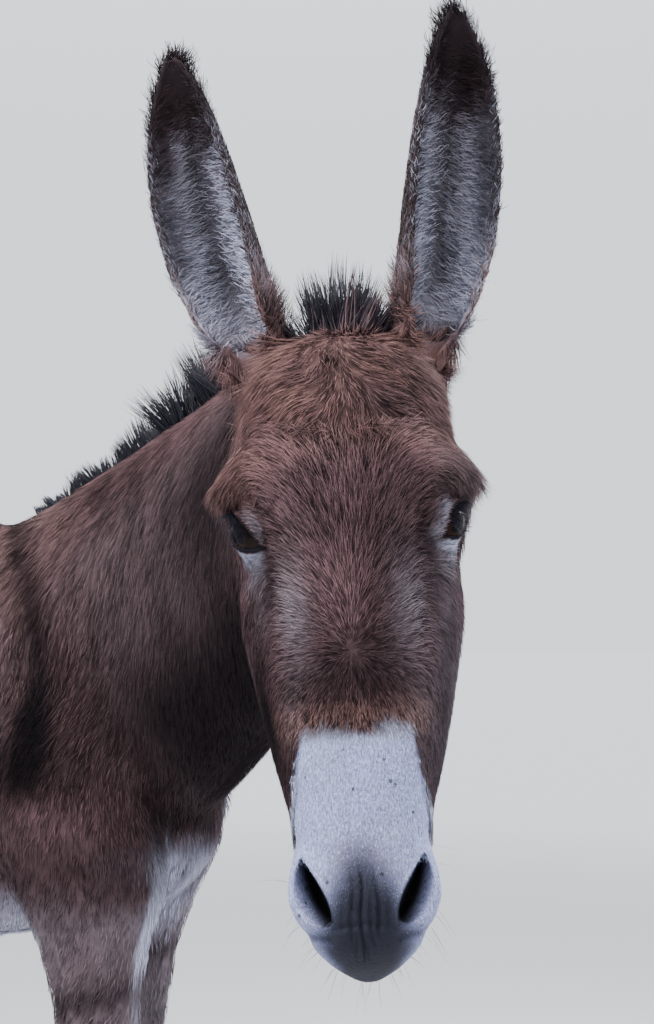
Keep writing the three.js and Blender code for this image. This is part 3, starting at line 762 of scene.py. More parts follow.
def long_hair_material():
    shader = Shader("donkey_long_hair")
    tones = donkey_colours()
    along = shader.attribute("along")
    tint = shader.attribute("tint")
    lighter = shader.mix((tint * 0.5 + 0.1 * along).limited(), tones.black, (0.022, 0.022, 0.04))
    tone = shader.mix(shader.attribute("warm"), lighter, tones.brown_tip)
    return shader.finish({"Base Color": tone, "Roughness": 0.45, "Specular IOR Level": 0.2})


def eye_material():
    shader = Shader("donkey_eye")
    tones = donkey_colours()
    across = shader.attribute("across")
    up = shader.attribute("up")
    away = (across**2 + up**2) ** 0.5
    pupil = ((across / 10.0) ** 2 + (up / 5.4) ** 2).stepped(1.15, 0.8)
    rays = shader.noise(240.0, 5.0)
    iris = shader.mix((0.25 + rays * 0.9).limited(), (0.010, 0.005, 0.003), tones.iris)
    tone = shader.mix(away.stepped(12.2, 13.4), iris, (0.012, 0.008, 0.008))
    tone = shader.mix(away.stepped(13.8, 16.5), tone, (0.016, 0.010, 0.009))
    tone = shader.mix(pupil, tone, (0.002, 0.002, 0.004))
    return shader.finish(
        {
            "Base Color": tone,
            "Roughness": 0.05,
            "IOR": 1.12,
            "Specular IOR Level": 0.5,
        }
    )


def horn_material():
    shader = Shader("donkey_horn")
    tones = donkey_colours()
    place = shader.place()
    height = shader.node("ShaderNodeSeparateXYZ", {}, {"Vector": place}, "Z")
    waver = shader.noise(30.0, 3.0)
    rings = shader.node("ShaderNodeMath", {"operation": "SINE"}, {0: height * 480.0 + waver * 7.0})
    fibres = shader.noise(1.0, 3.0, shader.stretched((420.0, 420.0, 14.0)))
    dust = shader.noise(45.0, 5.0)
    tone = shader.mix((0.55 * fibres + 0.03 * rings).limited(), tones.horn, (0.075, 0.066, 0.060))
    dusty = (dust.stepped(0.52, 0.72) * height.stepped(0.03, 0.0)).limited()
    tone = shader.mix(dusty, tone, (0.3, 0.26, 0.22))
    return shader.finish(
        {
            "Base Color": tone,
            "Roughness": (0.5 + 0.2 * fibres).limited(),
            "Specular IOR Level": 0.2,
            "Normal": shader.bump(0.15 * rings + 0.4 * fibres, 0.5, 0.0010),
        }
    )


def floor_material():
    """A pale floor that runs out into the even light behind it."""
    shader = Shader("studio_floor")
    tones = donkey_colours()
    place = shader.place()
    away = shader.node("ShaderNodeVectorMath", {"operation": "LENGTH"}, {0: place}, "Value")
    far = away.stepped(BACKDROP["near"], BACKDROP["far"])
    tone = shader.mix(far, tones.floor, (0, 0, 0))
    glow = shader.mix(far, (0, 0, 0), BACKDROP["tone"])
    return shader.finish(
        {
            "Base Color": tone,
            "Roughness": 0.85,
            "Specular IOR Level": 0.1,
            "Emission Color": glow,
            "Emission Strength": BACKDROP["strength"],
        }
    )


# ---- Meshes ----
def make_object(name, mesh):
    piece = bpy.data.objects.new(name, mesh)
    bpy.context.scene.collection.objects.link(piece)
    return piece


def select_only(piece):
    bpy.ops.object.select_all(action="DESELECT")
    piece.select_set(True)
    bpy.context.view_layer.objects.active = piece


def read(collection, field, width, kind=float):
    values = np.empty(len(collection) * width, kind)
    collection.foreach_get(field, values)
    return values.reshape(-1, width) if width > 1 else values


def points_of(mesh):
    return read(mesh.vertices, "co", 3)


def edges_of(mesh):
    return read(mesh.edges, "vertices", 2, np.int32)


def normals_of(mesh):
    return read(mesh.vertex_normals, "vector", 3)


def move_points(mesh, points):
    mesh.vertices.foreach_set("co", points.ravel())
    mesh.update()


def triangle_mesh(name, points, triangles):
    mesh = bpy.data.meshes.new(name)
    mesh.vertices.add(len(points))
    mesh.vertices.foreach_set("co", np.ascontiguousarray(points, np.float32).ravel())
    mesh.loops.add(len(triangles) * 3)
    mesh.loops.foreach_set("vertex_index", np.ascontiguousarray(triangles, np.int32).ravel())
    mesh.polygons.add(len(triangles))
    mesh.polygons.foreach_set("loop_start", np.arange(0, len(triangles) * 3, 3, dtype=np.int32))
    mesh.update(calc_edges=True)
    return mesh


def set_attribute(mesh, name, values):
    layer = mesh.attributes.new(name, "FLOAT", "POINT")
    layer.data.foreach_set("value", np.ascontiguousarray(values, np.float32))


def averaged(values, edges, keep=0.5, rounds=1, weight=None):
    """Values at points, drawn towards the mean of their neighbours where the weight is above 0."""
    values = values.copy()
    weight = np.ones(len(values)) if weight is None else weight
    near = weight > 0
    touched = edges[near[edges].any(1)]
    used, inner = np.unique(touched, return_inverse=True)
    inner = inner.reshape(-1, 2)
    ends = np.concatenate([inner[:, 0], inner[:, 1]])
    others = np.concatenate([inner[:, 1], inner[:, 0]])
    degree = np.maximum(np.bincount(ends, minlength=len(used)), 1)
    moving = values[used]
    pull = ((1 - keep) * weight[used])[:, None]
    for _ in range(rounds):
        sums = [np.bincount(ends, column[others], len(used)) for column in moving.T]
        moving += pull * (np.stack(sums, 1) / degree[:, None] - moving)
    values[used] = moving
    return values


# ---- Skin ----
def join_flesh():
    """One mesh of the flesh solids, each grown a little so that the thin cuts close."""
    closing = 0.5 * MM
    whole = bmesh.new()
    for name in FLESH:
        part = bmesh.new()
        part.from_mesh(NODES[name].data)
        bmesh.ops.remove_doubles(part, verts=part.verts, dist=0.01 * MM)
        part.normal_update()
        for vertex in part.verts:
            vertex.co += vertex.normal * closing
        copy = bpy.data.meshes.new(name + "_grown")
        part.to_mesh(copy)
        part.free()
        whole.from_mesh(copy)
        bpy.data.meshes.remove(copy)
    for hand in (RIGHT, LEFT):
        place = Matrix.Translation(from_head(eye_middle(hand)))
        bmesh.ops.create_icosphere(whole, subdivisions=3, radius=22.2 * MM, matrix=place)
    mesh = bpy.data.meshes.new("skin")
    whole.to_mesh(mesh)
    whole.free()
    return mesh


def region_shares(points, edges, spread):
    """How much each point belongs to each region, softened over the borders."""
    corners, faces, owner = [], [], []
    offset = 0
    for name in FLESH:
        mesh = NODES[name].data
        mesh.calc_loop_triangles()
        corners.append(points_of(mesh))
        triangles = read(mesh.loop_triangles, "vertices", 3, np.int32)
        faces.append(triangles + offset)
        offset += len(mesh.vertices)
        kind = next((region for region in REGIONS if region in name), "head")
        owner.append(np.full(len(triangles), REGIONS.index(kind)))
    tree = BVHTree.FromPolygons(np.concatenate(corners).tolist(), np.concatenate(faces).tolist())
    owner = np.concatenate(owner)
    nearest = np.array([tree.find_nearest(point)[2] for point in points.tolist()])
    shares = np.eye(len(REGIONS))[owner[nearest]]
    return averaged(shares, edges, 0.4, spread)


def fill_nostrils(points, edges):
    """Stretches the skin over the solids' nostril pits, so that finer ones can be pressed in."""
    x, y, down = aside_back_down(on_head(points))
    slant = math.radians(27)
    aside = (x - 35) * math.cos(slant) + (down - 466) * math.sin(slant)
    along = -(x - 35) * math.sin(slant) + (down - 466) * math.cos(slant)
    inside = ((aside / 15) ** 2 + (along / 30) ** 2 < 1) & (y < -24)
    return averaged(points, edges, 0.1, 160, inside.astype(float))


def subdivide_near(mesh, wanted):
    """Splits the faces whose middles `wanted` picks, given in the head's frame."""
    form = bmesh.new()
    form.from_mesh(mesh)
    middles = np.array([face.calc_center_median() for face in form.faces])
    chosen = wanted(on_head(middles))
    form.faces.ensure_lookup_table()
    edges = {edge for index in np.flatnonzero(chosen) for edge in form.faces[index].edges}
    bmesh.ops.subdivide_edges(form, edges=list(edges), cuts=1, use_grid_fill=True)
    bmesh.ops.triangulate(form, faces=[face for face in form.faces if len(face.verts) > 4])
    form.to_mesh(mesh)
    form.free()


def near_eye(head, reach):
    right, left = (np.linalg.norm(head - eye_middle(hand), axis=1) for hand in (RIGHT, LEFT))
    return np.minimum(right, left) < reach


def shape_lids(head):
    """Lids that close over the ball round an almond opening, with a fold above and below."""
    for hand in (RIGHT, LEFT):
        distance, ahead, _, up, outside = round_eye(head, hand)
        near = (distance < 48) & (ahead > 0.02)
        lid = EYE_RADIUS + LID["thick"] - 0.9 * bell(outside, 5.2, 1.5) * (up > 0)
        lid = lid + 0.5 * bell(outside, 2.4, 1.4)
        lid = lid - 0.5 * bell(outside, 6.0, 1.4) * (up < 0)
        behind_ball = EYE_RADIUS - 4
        edge = rise(-0.9, 0.5, outside)
        held = blend(behind_ball, lid, edge)
        free = rise(5, 15, outside)
        wanted = blend(held, distance, free)
        # The hollow between the upper lid and the brow.
        wanted = wanted - 2.2 * bell(outside, 11.5, 3.6) * rise(0, 8, up)
        moved = eye_middle(hand) + unit(head - eye_middle(hand)) * wanted[:, None]
        head = np.where(near[:, None], moved, head)
    return head


# Place across the nose, width, strength, and where it begins and ends down the face.
NOSE_GROOVES = (
    (-14.5, 1.8, 0.35, 456, 500),
    (-8.5, 1.5, 0.7, 448, 508),
    (-2.0, 1.3, 1.0, 440, 522),
    (4.2, 1.2, 0.55, 462, 512),
    (9.0, 1.6, 0.8, 446, 504),
    (15.5, 1.8, 0.35, 462, 498),
    (-5.5, 1.1, 0.5, 486, 524),
    (1.5, 1.1, 0.6, 492, 520),
)


def nose_grooves(head):
    """1 along the upright grooves of the nose and the upper lip."""
    down = -head[:, 2]
    total = np.zeros(len(head))
    for place, width, strength, top, bottom in NOSE_GROOVES:
        middle = place * (1 + (down - 455) / 260) + 0.9 * np.sin(down / 7 + place)
        groove = strength * bell(head[:, 0], middle, width)
        total = total + groove * rise(top, top + 22, down) * rise(bottom, bottom - 12, down)
    return np.clip(total, 0, 1) * rise(-40, -50, head[:, 1])


def off_mouth(y, down):
    """How far a point lies over or under the plane in which the lips meet."""
    return 0.98 * y + 0.2 * (down - 525)


def shape_muzzle(head):
    """Presses in the nostrils, raises their rims, and cuts the nose's grooves and the mouth."""
    x, y, down = aside_back_down(head)
    hand = np.sign(head[:, 0])
    share, outer = round_nostril(head)
    slope = blend(0.26, 0.95, rise(-0.3, 0.9, outer))
    depth = 25 * rise(1.02, 1.02 - slope, share) * (share < 1.2)
    inwards = np.stack([-hand * 0.30, np.full(len(head), 0.92), np.full(len(head), 0.22)], 1)
    front = rise(-20, -36, y)
    rim = 1.7 * bell(share, 1.16, 0.16) * front * rise(440, 456, down)
    out = unit(np.stack([hand * 0.75, np.full(len(head), -0.65), np.zeros(len(head))], 1))
    head = head + inwards * (depth * front)[:, None] + out * rim[:, None]
    groove = 2.1 * nose_grooves(head)
    crease = 1.8 * bell(down, 490 + 0.1 * x, 2.4) * rise(34, 22, x) * rise(-40, -50, y)
    lips = 3.6 * bell(off_mouth(y, down), 0, 2.0) * rise(452, 464, down)
    middle = np.stack([np.zeros(len(head)), np.full(len(head), -8.0), -np.minimum(down, 505.0)], 1)
    # The hollows above the flaring wing of the nostril, between the wing and the lip, and along
    # the edge of the nose.
    above_wing = 432 - 0.45 * (x - 44)
    hollow = 2.6 * bell(down, above_wing, 8) * bell(x, 50, 13) * rise(-4, -24, y)
    under_wing = 4.2 * bell(down, wing_fold(x), 4.0) * rise(18, 28, x) * rise(-8, -30, y)
    hollow = hollow + under_wing
    hollow = hollow + 1.6 * bell(x, 47, 4) * bell(down, 385, 34) * rise(-30, -50, y)
    return head + unit(middle - head) * (groove + crease + lips + hollow)[:, None]


def decimate(piece, triangles, kept):
    """Thins the mesh to a number of triangles, holding on to the points of the group `kept`."""
    group = piece.vertex_groups.new(name="kept")
    for level in (0.25, 0.5, 1.0):
        chosen = np.flatnonzero((kept > level - 0.2) & (kept <= level + 0.3))
        group.add(chosen.tolist(), level, "REPLACE")
    count = sum(len(face.vertices) - 2 for face in piece.data.polygons)
    modifier = piece.modifiers.new("thin", "DECIMATE")
    modifier.ratio = triangles / count
    modifier.use_collapse_triangulate = True
    modifier.vertex_group = group.name
    modifier.invert_vertex_group = True
    modifier.vertex_group_factor = 6
    select_only(piece)
    bpy.ops.object.modifier_apply(modifier=modifier.name)
    piece.vertex_groups.clear()


def bare_skin(head):
    """1 on the lids' rims, inside the nostrils and along the mouth."""
    x, y, down = aside_back_down(head)
    share, outer = round_nostril(head)
    # The nostrils' dark skin is partly their own and partly painted shade that deepens towards the
    # pit.
    wall = 1 - (1 - rise(1.25, -0.5, outer)) ** 1.4
    bare = np.maximum(rise(1.6, 0.2, off_eye(head)), rise(1.16, 0.9, share) * wall)
    lip_line = bell(off_mouth(y, down), 0, 3.2) * rise(450, 462, down)
    lip_front = 0.4 * rise(494, 524, down) * rise(30, 10, x)
    return np.clip(np.maximum(bare, np.maximum(lip_line, lip_front)), 0, 1)


# How strongly each region's form is smoothed, and how strongly its joins are evened out first.
SOFTNESS = {"head": 0.10, "neck": 0.9, "trunk": 1.0, "leg": 0.22, "tail": 0.2, "ear": 0.02}
EVENING = {"head": 1, "neck": 1, "trunk": 1, "leg": 1, "tail": 1, "ear": 0.3}
# How many rounds of averaging each of the skin's steps takes.
ROUNDS = {"regions": 24, "evening": 4, "form": 60, "depth": 12, "face": 5, "markings": 14}
SUNK = 0.92  # the share of the coat's depth by which the skin lies inside the solids


def per_region(values):
    return np.array([values[name] for name in REGIONS])


def remesh(piece, grain):
    select_only(piece)
    piece.data.remesh_voxel_size = grain
    piece.data.remesh_voxel_adaptivity = 0
    bpy.ops.object.voxel_remesh()


def sink_skin(mesh):
    """Smooths the joined solids and draws them in by the depth of the coat."""
    points, edges = points_of(mesh), edges_of(mesh)
    regions = region_shares(points, edges, ROUNDS["regions"])
    soft = regions @ per_region(SOFTNESS)
    evening = np.clip(regions @ per_region(EVENING), 0, 1)
    points = fill_nostrils(points, edges)
    points = averaged(points, edges, 0.5, ROUNDS["evening"], evening)
    points = averaged(points, edges, 0.5, ROUNDS["form"], soft**1.5)
    move_points(mesh, points)
    depth = coat(points, regions)[2]
    depth = averaged(depth[:, None], edges, 0.3, ROUNDS["depth"])
    move_points(mesh, points - normals_of(mesh) * depth * SUNK * MM)


def model_face(mesh):
    """Lids, nostrils and mouth on a finer grid. Gives how firmly each point is to be kept."""
    subdivide_near(mesh, lambda head: near_eye(head, 36) | (-head[:, 2] > 436))
    subdivide_near(
        mesh, lambda head: near_eye(head, 30) | ((-head[:, 2] > 440) & (head[:, 1] < -20))
    )
    points = points_of(mesh)
    head = on_head(points)
    fine = near_eye(head, 34) | ((-head[:, 2] > 436) & (head[:, 1] < 60))
    points = averaged(points, edges_of(mesh), 0.5, ROUNDS["face"], fine.astype(float))
    head = on_head(points)
    x, y, down = aside_back_down(head)
    of_head = (down > 0) & (down < 560) & (x < 130) & (y < 120)
    head = np.where(of_head[:, None], shape_muzzle(shape_lids(head)), head)
    move_points(mesh, from_head(head))
    _, y, down = aside_back_down(head)
    kept = np.where(near_eye(head, 30) | ((down > 440) & (y < 40) & of_head), 1.0, 0.0)
    return np.maximum(kept, np.where(of_head & (y < 20), 0.5, 0))


def unwrap(piece):
    select_only(piece)
    bpy.ops.object.shade_smooth()
    bpy.ops.object.mode_set(mode="EDIT")
    bpy.ops.mesh.select_all(action="SELECT")
    bpy.ops.uv.smart_project(angle_limit=math.radians(66), island_margin=0.0006)
    bpy.ops.object.mode_set(mode="OBJECT")
    piece.data.uv_layers[0].name = "OFBake"


def mark_skin(mesh):
    """Sets down the regions, the markings, where the skin is bare or thinly covered, and the
    painted shade deep in the nostrils and the nose's grooves.
    """
    points = points_of(mesh)
    regions = region_shares(points, edges_of(mesh), ROUNDS["markings"])
    shares = {"of_" + name: regions[:, i] for i, name in enumerate(REGIONS)}
    shares.update(markings(points, normals_of(mesh), regions))
    head = on_head(points)
    of_head = share_of(regions, "head") > 0.5
    inside, outer = round_nostril(head)
    nostrils = rise(1.0, 0.7, inside) * rise(0.1, -0.4, outer)
    shares["bare"] = bare_skin(head) * of_head
    # Painted shade for the nostrils' pits and the nose's grooves.
    shares["deep_shade"] = np.maximum(nostrils, 0.42 * nose_grooves(head)) * of_head
    shares["under"] = rise(FACE["muzzle"], FACE["muzzle"] + 20, -head[:, 2]) * of_head
    for name, share in shares.items():
        set_attribute(mesh, name, share)


class DONKEY_OT_skin(bpy.types.Operator):
    """One skin over all the flesh, inside the solids by the depth of the coat"""

    bl_idname = "donkey.skin"
    bl_label = "Skin"

    def execute(self, context):
        sizes = donkey_sizes()
        skin = make_object("skin", join_flesh())
        remesh(skin, sizes.skin_grain)
        sink_skin(skin.data)
        kept = model_face(skin.data)
        decimate(skin, sizes.skin_triangles, kept)
        unwrap(skin)
        mark_skin(skin.data)
        skin.data.materials.append(skin_material())
        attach(skin, "root")
        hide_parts(*FLESH)
        return {"FINISHED"}


# ---- Tufts ----
class Surface:
    """The finished skin's triangles, with what the coat needs at each corner."""

    def __init__(self):
        mesh = bpy.data.objects["skin"].data
        self.points = points_of(mesh)
        self.normals = normals_of(mesh)
        self.regions = np.stack(
            [read(mesh.attributes["of_" + name].data, "value", 1) for name in REGIONS], 1
        )
        self.corners = read(mesh.loops, "vertex_index", 1, np.int32).reshape(-1, 3)
        self.uv = read(mesh.uv_layers["OFBake"].uv, "vector", 2).reshape(-1, 3, 2)
        a, b, c = (self.points[self.corners[:, i]] for i in range(3))
        self.areas = np.linalg.norm(np.cross(b - a, c - a), axis=1) / 2

    def share(self, *names):
        return share_of(self.regions, *names)

    def scatter(self, count, weights, dice):
        """Places, normals, regions and unwrapped places of `count` roots, by area and weight."""
        chance = self.areas * weights[self.corners].mean(1)
        chosen = dice.choice(len(self.corners), count, p=chance / chance.sum())
        shares = dice.dirichlet((1, 1, 1), count)
        corners = self.corners[chosen]

        def between(values):
            return (values * shares[:, :, None]).sum(1)

        return (
            between(self.points[corners]),
            unit(between(self.normals[corners])),
            between(self.regions[corners]),
            between(self.uv[chosen]),
        )


def tuft_faces(count, rings):
    """Triangles of closed tufts that run from a root point over rings of three to a tip."""
    step = 2 + 3 * rings
    first, tip = 0, step - 1
    faces = []
    for i in range(3):
        j = (i + 1) % 3
        faces.append((first, 1 + j, 1 + i))
        faces.append((tip - 3 + i, tip - 3 + j, tip))
        for ring in range(rings - 1):
            low, high = 1 + 3 * ring, 4 + 3 * ring
            faces.append((low + i, low + j, high + j))
            faces.append((low + i, high + j, high + i))
    return (np.arange(count)[:, None, None] * step + np.array(faces)).reshape(-1, 3)


PATCH = 0.003  # how wide each tuft's place is on the map, round that of its root


def tufts(name, paths, widths, ups, uv, values, material, flatness=0.45):
    """A joined mesh of tufts along paths of points, each with its own widths at its rings."""
    count, steps, _ = paths.shape
    rings = steps - 2
    ahead = unit(paths[:, 2:] - paths[:, :-2])
    sideways = unit(np.cross(ahead, ups[:, None, :]))
    upwards = np.cross(sideways, ahead)
    half = (widths / 2)[:, :, None]
    middle = paths[:, 1:-1]
    top = middle + upwards * half * 2 * flatness
    ring = np.stack([middle - sideways * half, top, middle + sideways * half], 2)
    points = np.concatenate([paths[:, :1], ring.reshape(count, rings * 3, 3), paths[:, -1:]], 1)
    mesh = triangle_mesh(name, points.reshape(-1, 3), tuft_faces(count, rings))
    along = np.concatenate([[0], np.repeat(np.arange(1, rings + 1) / (rings + 1), 3), [1]])
    set_attribute(mesh, "along", np.tile(along, count))
    for key, value in values.items():
        set_attribute(mesh, key, np.repeat(value, 2 + 3 * rings))
    reach = PATCH / 2
    aside = np.concatenate([[0], np.tile([-reach, 0, reach], rings), [0]])
    spot = np.stack([np.tile(aside, (count, 1)), np.tile((2 * along - 1) * reach, (count, 1))], 2)
    spots = (uv[:, None, :] + spot).reshape(-1, 2).astype(np.float32)
    layer = mesh.uv_layers.new(name="OFBake")
    layer.uv.foreach_set("vector", spots[read(mesh.loops, "vertex_index", 1, np.int32)].ravel())
    mesh.polygons.foreach_set("use_smooth", np.ones(len(mesh.polygons), bool))
    mesh.materials.append(material)
    piece = make_object(name, mesh)
    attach(piece, "root")
    return piece


def drawn(places, group, pull):
    """Each group's places, drawn towards their middle."""
    number = np.maximum(np.bincount(group), 1)
    centre = np.stack([np.bincount(group, places[:, axis]) / number for axis in range(3)], 1)[group]
    return places + (centre - places) * pull


def gathered(places, roots, cell, pull, seed):
    """Places of neighbouring hairs, drawn together into locks about `cell` across."""
    waves = np.stack([ripple(roots, 3 * cell, seed + axis) for axis in range(3)], 1)
    keys = np.floor((roots + 0.4 * cell * waves) / cell).astype(np.int64)
    _, group = np.unique(keys, axis=0, return_inverse=True)
    return drawn(places, group.ravel(), pull)


MEAN_TINT = 0.48  # of the coat's tufts, from 0 for its darkest hair to 1 for its lightest


def coat_piece(name, count, weigh, surface, seed, wider=1.0, locks=(0.007, 0.35), rough=0.22):
    """One piece of the coat: short bent tufts that lie along the body."""
    dice = np.random.default_rng(seed)
    number = coat(surface.points, surface.regions)[3]
    weights = np.maximum(number, 0) * np.maximum(weigh(surface), 0)
    roots, normals, regions, uv = surface.scatter(count, weights, dice)
    length, width, depth, _ = coat(roots, regions)
    way = flow(roots, normals, regions)
    aside = np.cross(normals, way)
    bend = dice.normal(0, rough, count)[:, None]
    way = unit(way + aside * bend)
    reach = (length * MM * dice.uniform(0.72, 1.22, count))[:, None]
    lift = (depth * MM * dice.uniform(0.5, 1.1, count))[:, None]
    sway = (dice.normal(0, 0.10, count))[:, None] * aside
    foot = roots - normals * 0.4 * MM
    knee = roots + way * reach * 0.4 + normals * lift * 0.62 + sway * reach * 0.3
    tip = roots + way * reach * 0.93 + normals * lift + sway * reach
    cell, pull = locks
    moved = gathered(tip, roots, cell, pull, seed)
    knee = knee + (moved - tip) * 0.35
    paths = np.stack([foot, knee, moved], 1)
    widths = (width * MM * wider * dice.uniform(0.75, 1.3, count))[:, None]
    values = markings(roots, normals, regions)
    shaded = dice.uniform(size=count) < 0.42
    tint = np.where(shaded, dice.normal(0.04, 0.10, count), dice.normal(0.78, 0.25, count))
    of_body = 1 - share_of(regions, "head") - share_of(regions, "ear")
    tint = MEAN_TINT + (tint - MEAN_TINT) * (1 - 0.3 * of_body) / wider**0.8
    values["tint"] = np.clip(tint + 0.15 * ripple(roots, 0.03, seed), 0, 1)
    piece = tufts(name, paths, widths, normals, uv, values, coat_finish(), 0.4)
    return piece


def finish(name, make):
    """A material that is made once and then shared."""
    return bpy.data.materials.get(name) or make()


def coat_finish():
    return finish("donkey_coat", coat_material)


# Where each piece of the coat grows.
def face_share(surface):
    _, y, down = aside_back_down(on_head(surface.points))
    return surface.share("head") * rise(0, -30, y) * rise(112, 140, down)


def forehead_share(surface):
    _, y, down = aside_back_down(on_head(surface.points))
    up_ear = on_ear(surface.points)[0]
    grown = surface.share("head") * (0.35 + 0.65 * rise(60, 10, y))
    grown = grown + surface.share("ear") * rise(0.07, 0, up_ear)
    return grown * rise(140, 112, down)


def cheek_share(surface):
    _, y, down = aside_back_down(on_head(surface.points))
    side = rise(-30, 0, y) * rise(112, 140, down)
    return surface.share("head") * side * (0.3 + 0.7 * rise(110, 60, y))


def muzzle_share(surface):
    _, _, down = aside_back_down(on_head(surface.points))
    return surface.share("head") * rise(FACE["muzzle"] - 5, FACE["muzzle"] + 5, down)


def neck_share(hand):
    def weigh(surface):
        body = on_body(surface.points)
        return surface.share("neck") * rise(-12, 12, hand * body[:, 0])

    return weigh


def shoulder_share(surface):
    body = on_body(surface.points)
    return surface.share("trunk") * rise(330, 230, body[:, 1]) * rise(60, -20, body[:, 0])


def trunk_share(surface):
    body = on_body(surface.points)
    shoulder = rise(330, 230, body[:, 1]) * rise(60, -20, body[:, 0])
    return surface.share("trunk", "tail") * (1 - shoulder)


def leg_share(surface):
    return surface.share("leg")


def ear_back_share(surface):
    share, across, hollow, hand = on_ear(surface.points)
    uncovered = np.maximum(rolled_rim(share, across * hand), rise(0.1, 0.02, share))
    return surface.share("ear") * np.maximum(1 - hollow, uncovered)


# Tufts of each piece: number, where they grow, slot, how much wider they are, and their locks.
COATS_OF_HEAD = (
    ("coat_face", 32500, face_share, "coat_brown", 1.0, (0.0040, 0.30)),
    ("coat_forehead", 20000, forehead_share, "coat_brown", 1.0, (0.008, 0.40)),
    ("coat_cheeks", 19000, cheek_share, "coat_brown", 1.0, (0.007, 0.30)),
    ("coat_muzzle", 11000, muzzle_share, "coat_pale", 1.0, (0.002, 0.15)),
)
COATS_OF_BODY = (
    ("coat_neck_right", 33000, neck_share(RIGHT), "coat_brown", 1.0, (0.010, 0.34)),
    ("coat_neck_left", 12000, neck_share(LEFT), "coat_brown", 2.4, (0.014, 0.40)),
    ("coat_shoulder", 30000, shoulder_share, "coat_brown", 1.0, (0.011, 0.34)),
    ("coat_trunk", 26000, trunk_share, "coat_brown", 2.8, (0.020, 0.40)),
    ("coat_legs", 24000, leg_share, "coat_grey_brown", 1.25, (0.007, 0.28)),
)


class DONKEY_OT_coat_of_head(bpy.types.Operator):
    """Short tufts over the face, forehead, cheeks and muzzle"""

    bl_idname = "donkey.coat_of_head"
    bl_label = "Coat of the head"

    def execute(self, context):
        surface = Surface()
        for seed, (name, count, weigh, slot, wider, locks) in enumerate(COATS_OF_HEAD, SEED):
            coat_piece(name, count, weigh, surface, seed, wider, locks)
        return {"FINISHED"}


class DONKEY_OT_coat_of_body(bpy.types.Operator):
    """Longer tufts over the neck, trunk, tail and legs"""

    bl_idname = "donkey.coat_of_body"
    bl_label = "Coat of the body"

    def execute(self, context):
        surface = Surface()
        for seed, (name, count, weigh, slot, wider, locks) in enumerate(COATS_OF_BODY, SEED + 10):
            coat_piece(name, count, weigh, surface, seed, wider, locks, 0.16)
        return {"FINISHED"}


def curve(root, way, ups, reach, lift, droop, steps, dice, curl=0.0):
    """Paths of long hairs: out along `way`, lifted along `ups`, with tips that fall by `droop`."""
    share = np.linspace(0, 1, steps)[None, :, None]
    phase = dice.uniform(0, 6.3, (len(root), 1, 1))
    aside = np.cross(way, ups)
    wave = np.sin(share * 7 + phase) - np.sin(phase)
    return (
        root[:, None]
        + way[:, None] * reach[:, None, None] * share
        + ups[:, None] * lift[:, None, None] * np.sin(share * math.pi / 2)
        + aside[:, None] * wave * curl * reach[:, None, None]
        + droop[:, None] * reach[:, None, None] * share**2
    )


def taper(width, steps, root=0.75):
    """Widths at the rings of a hair, thickest a third of the way up."""
    share = np.linspace(0, 1, steps)[1:-1]
    shape = np.interp(share, (0, 0.35, 1), (root, 1.0, 0.25))
    return width[:, None] * shape[None]


def tints(dice, count, **marks):
    values = {name: np.zeros(count) for name in MARKINGS}
    values["tint"] = np.clip(dice.normal(0.5, 0.25, count), 0, 1)
    values.update(marks)
    return values


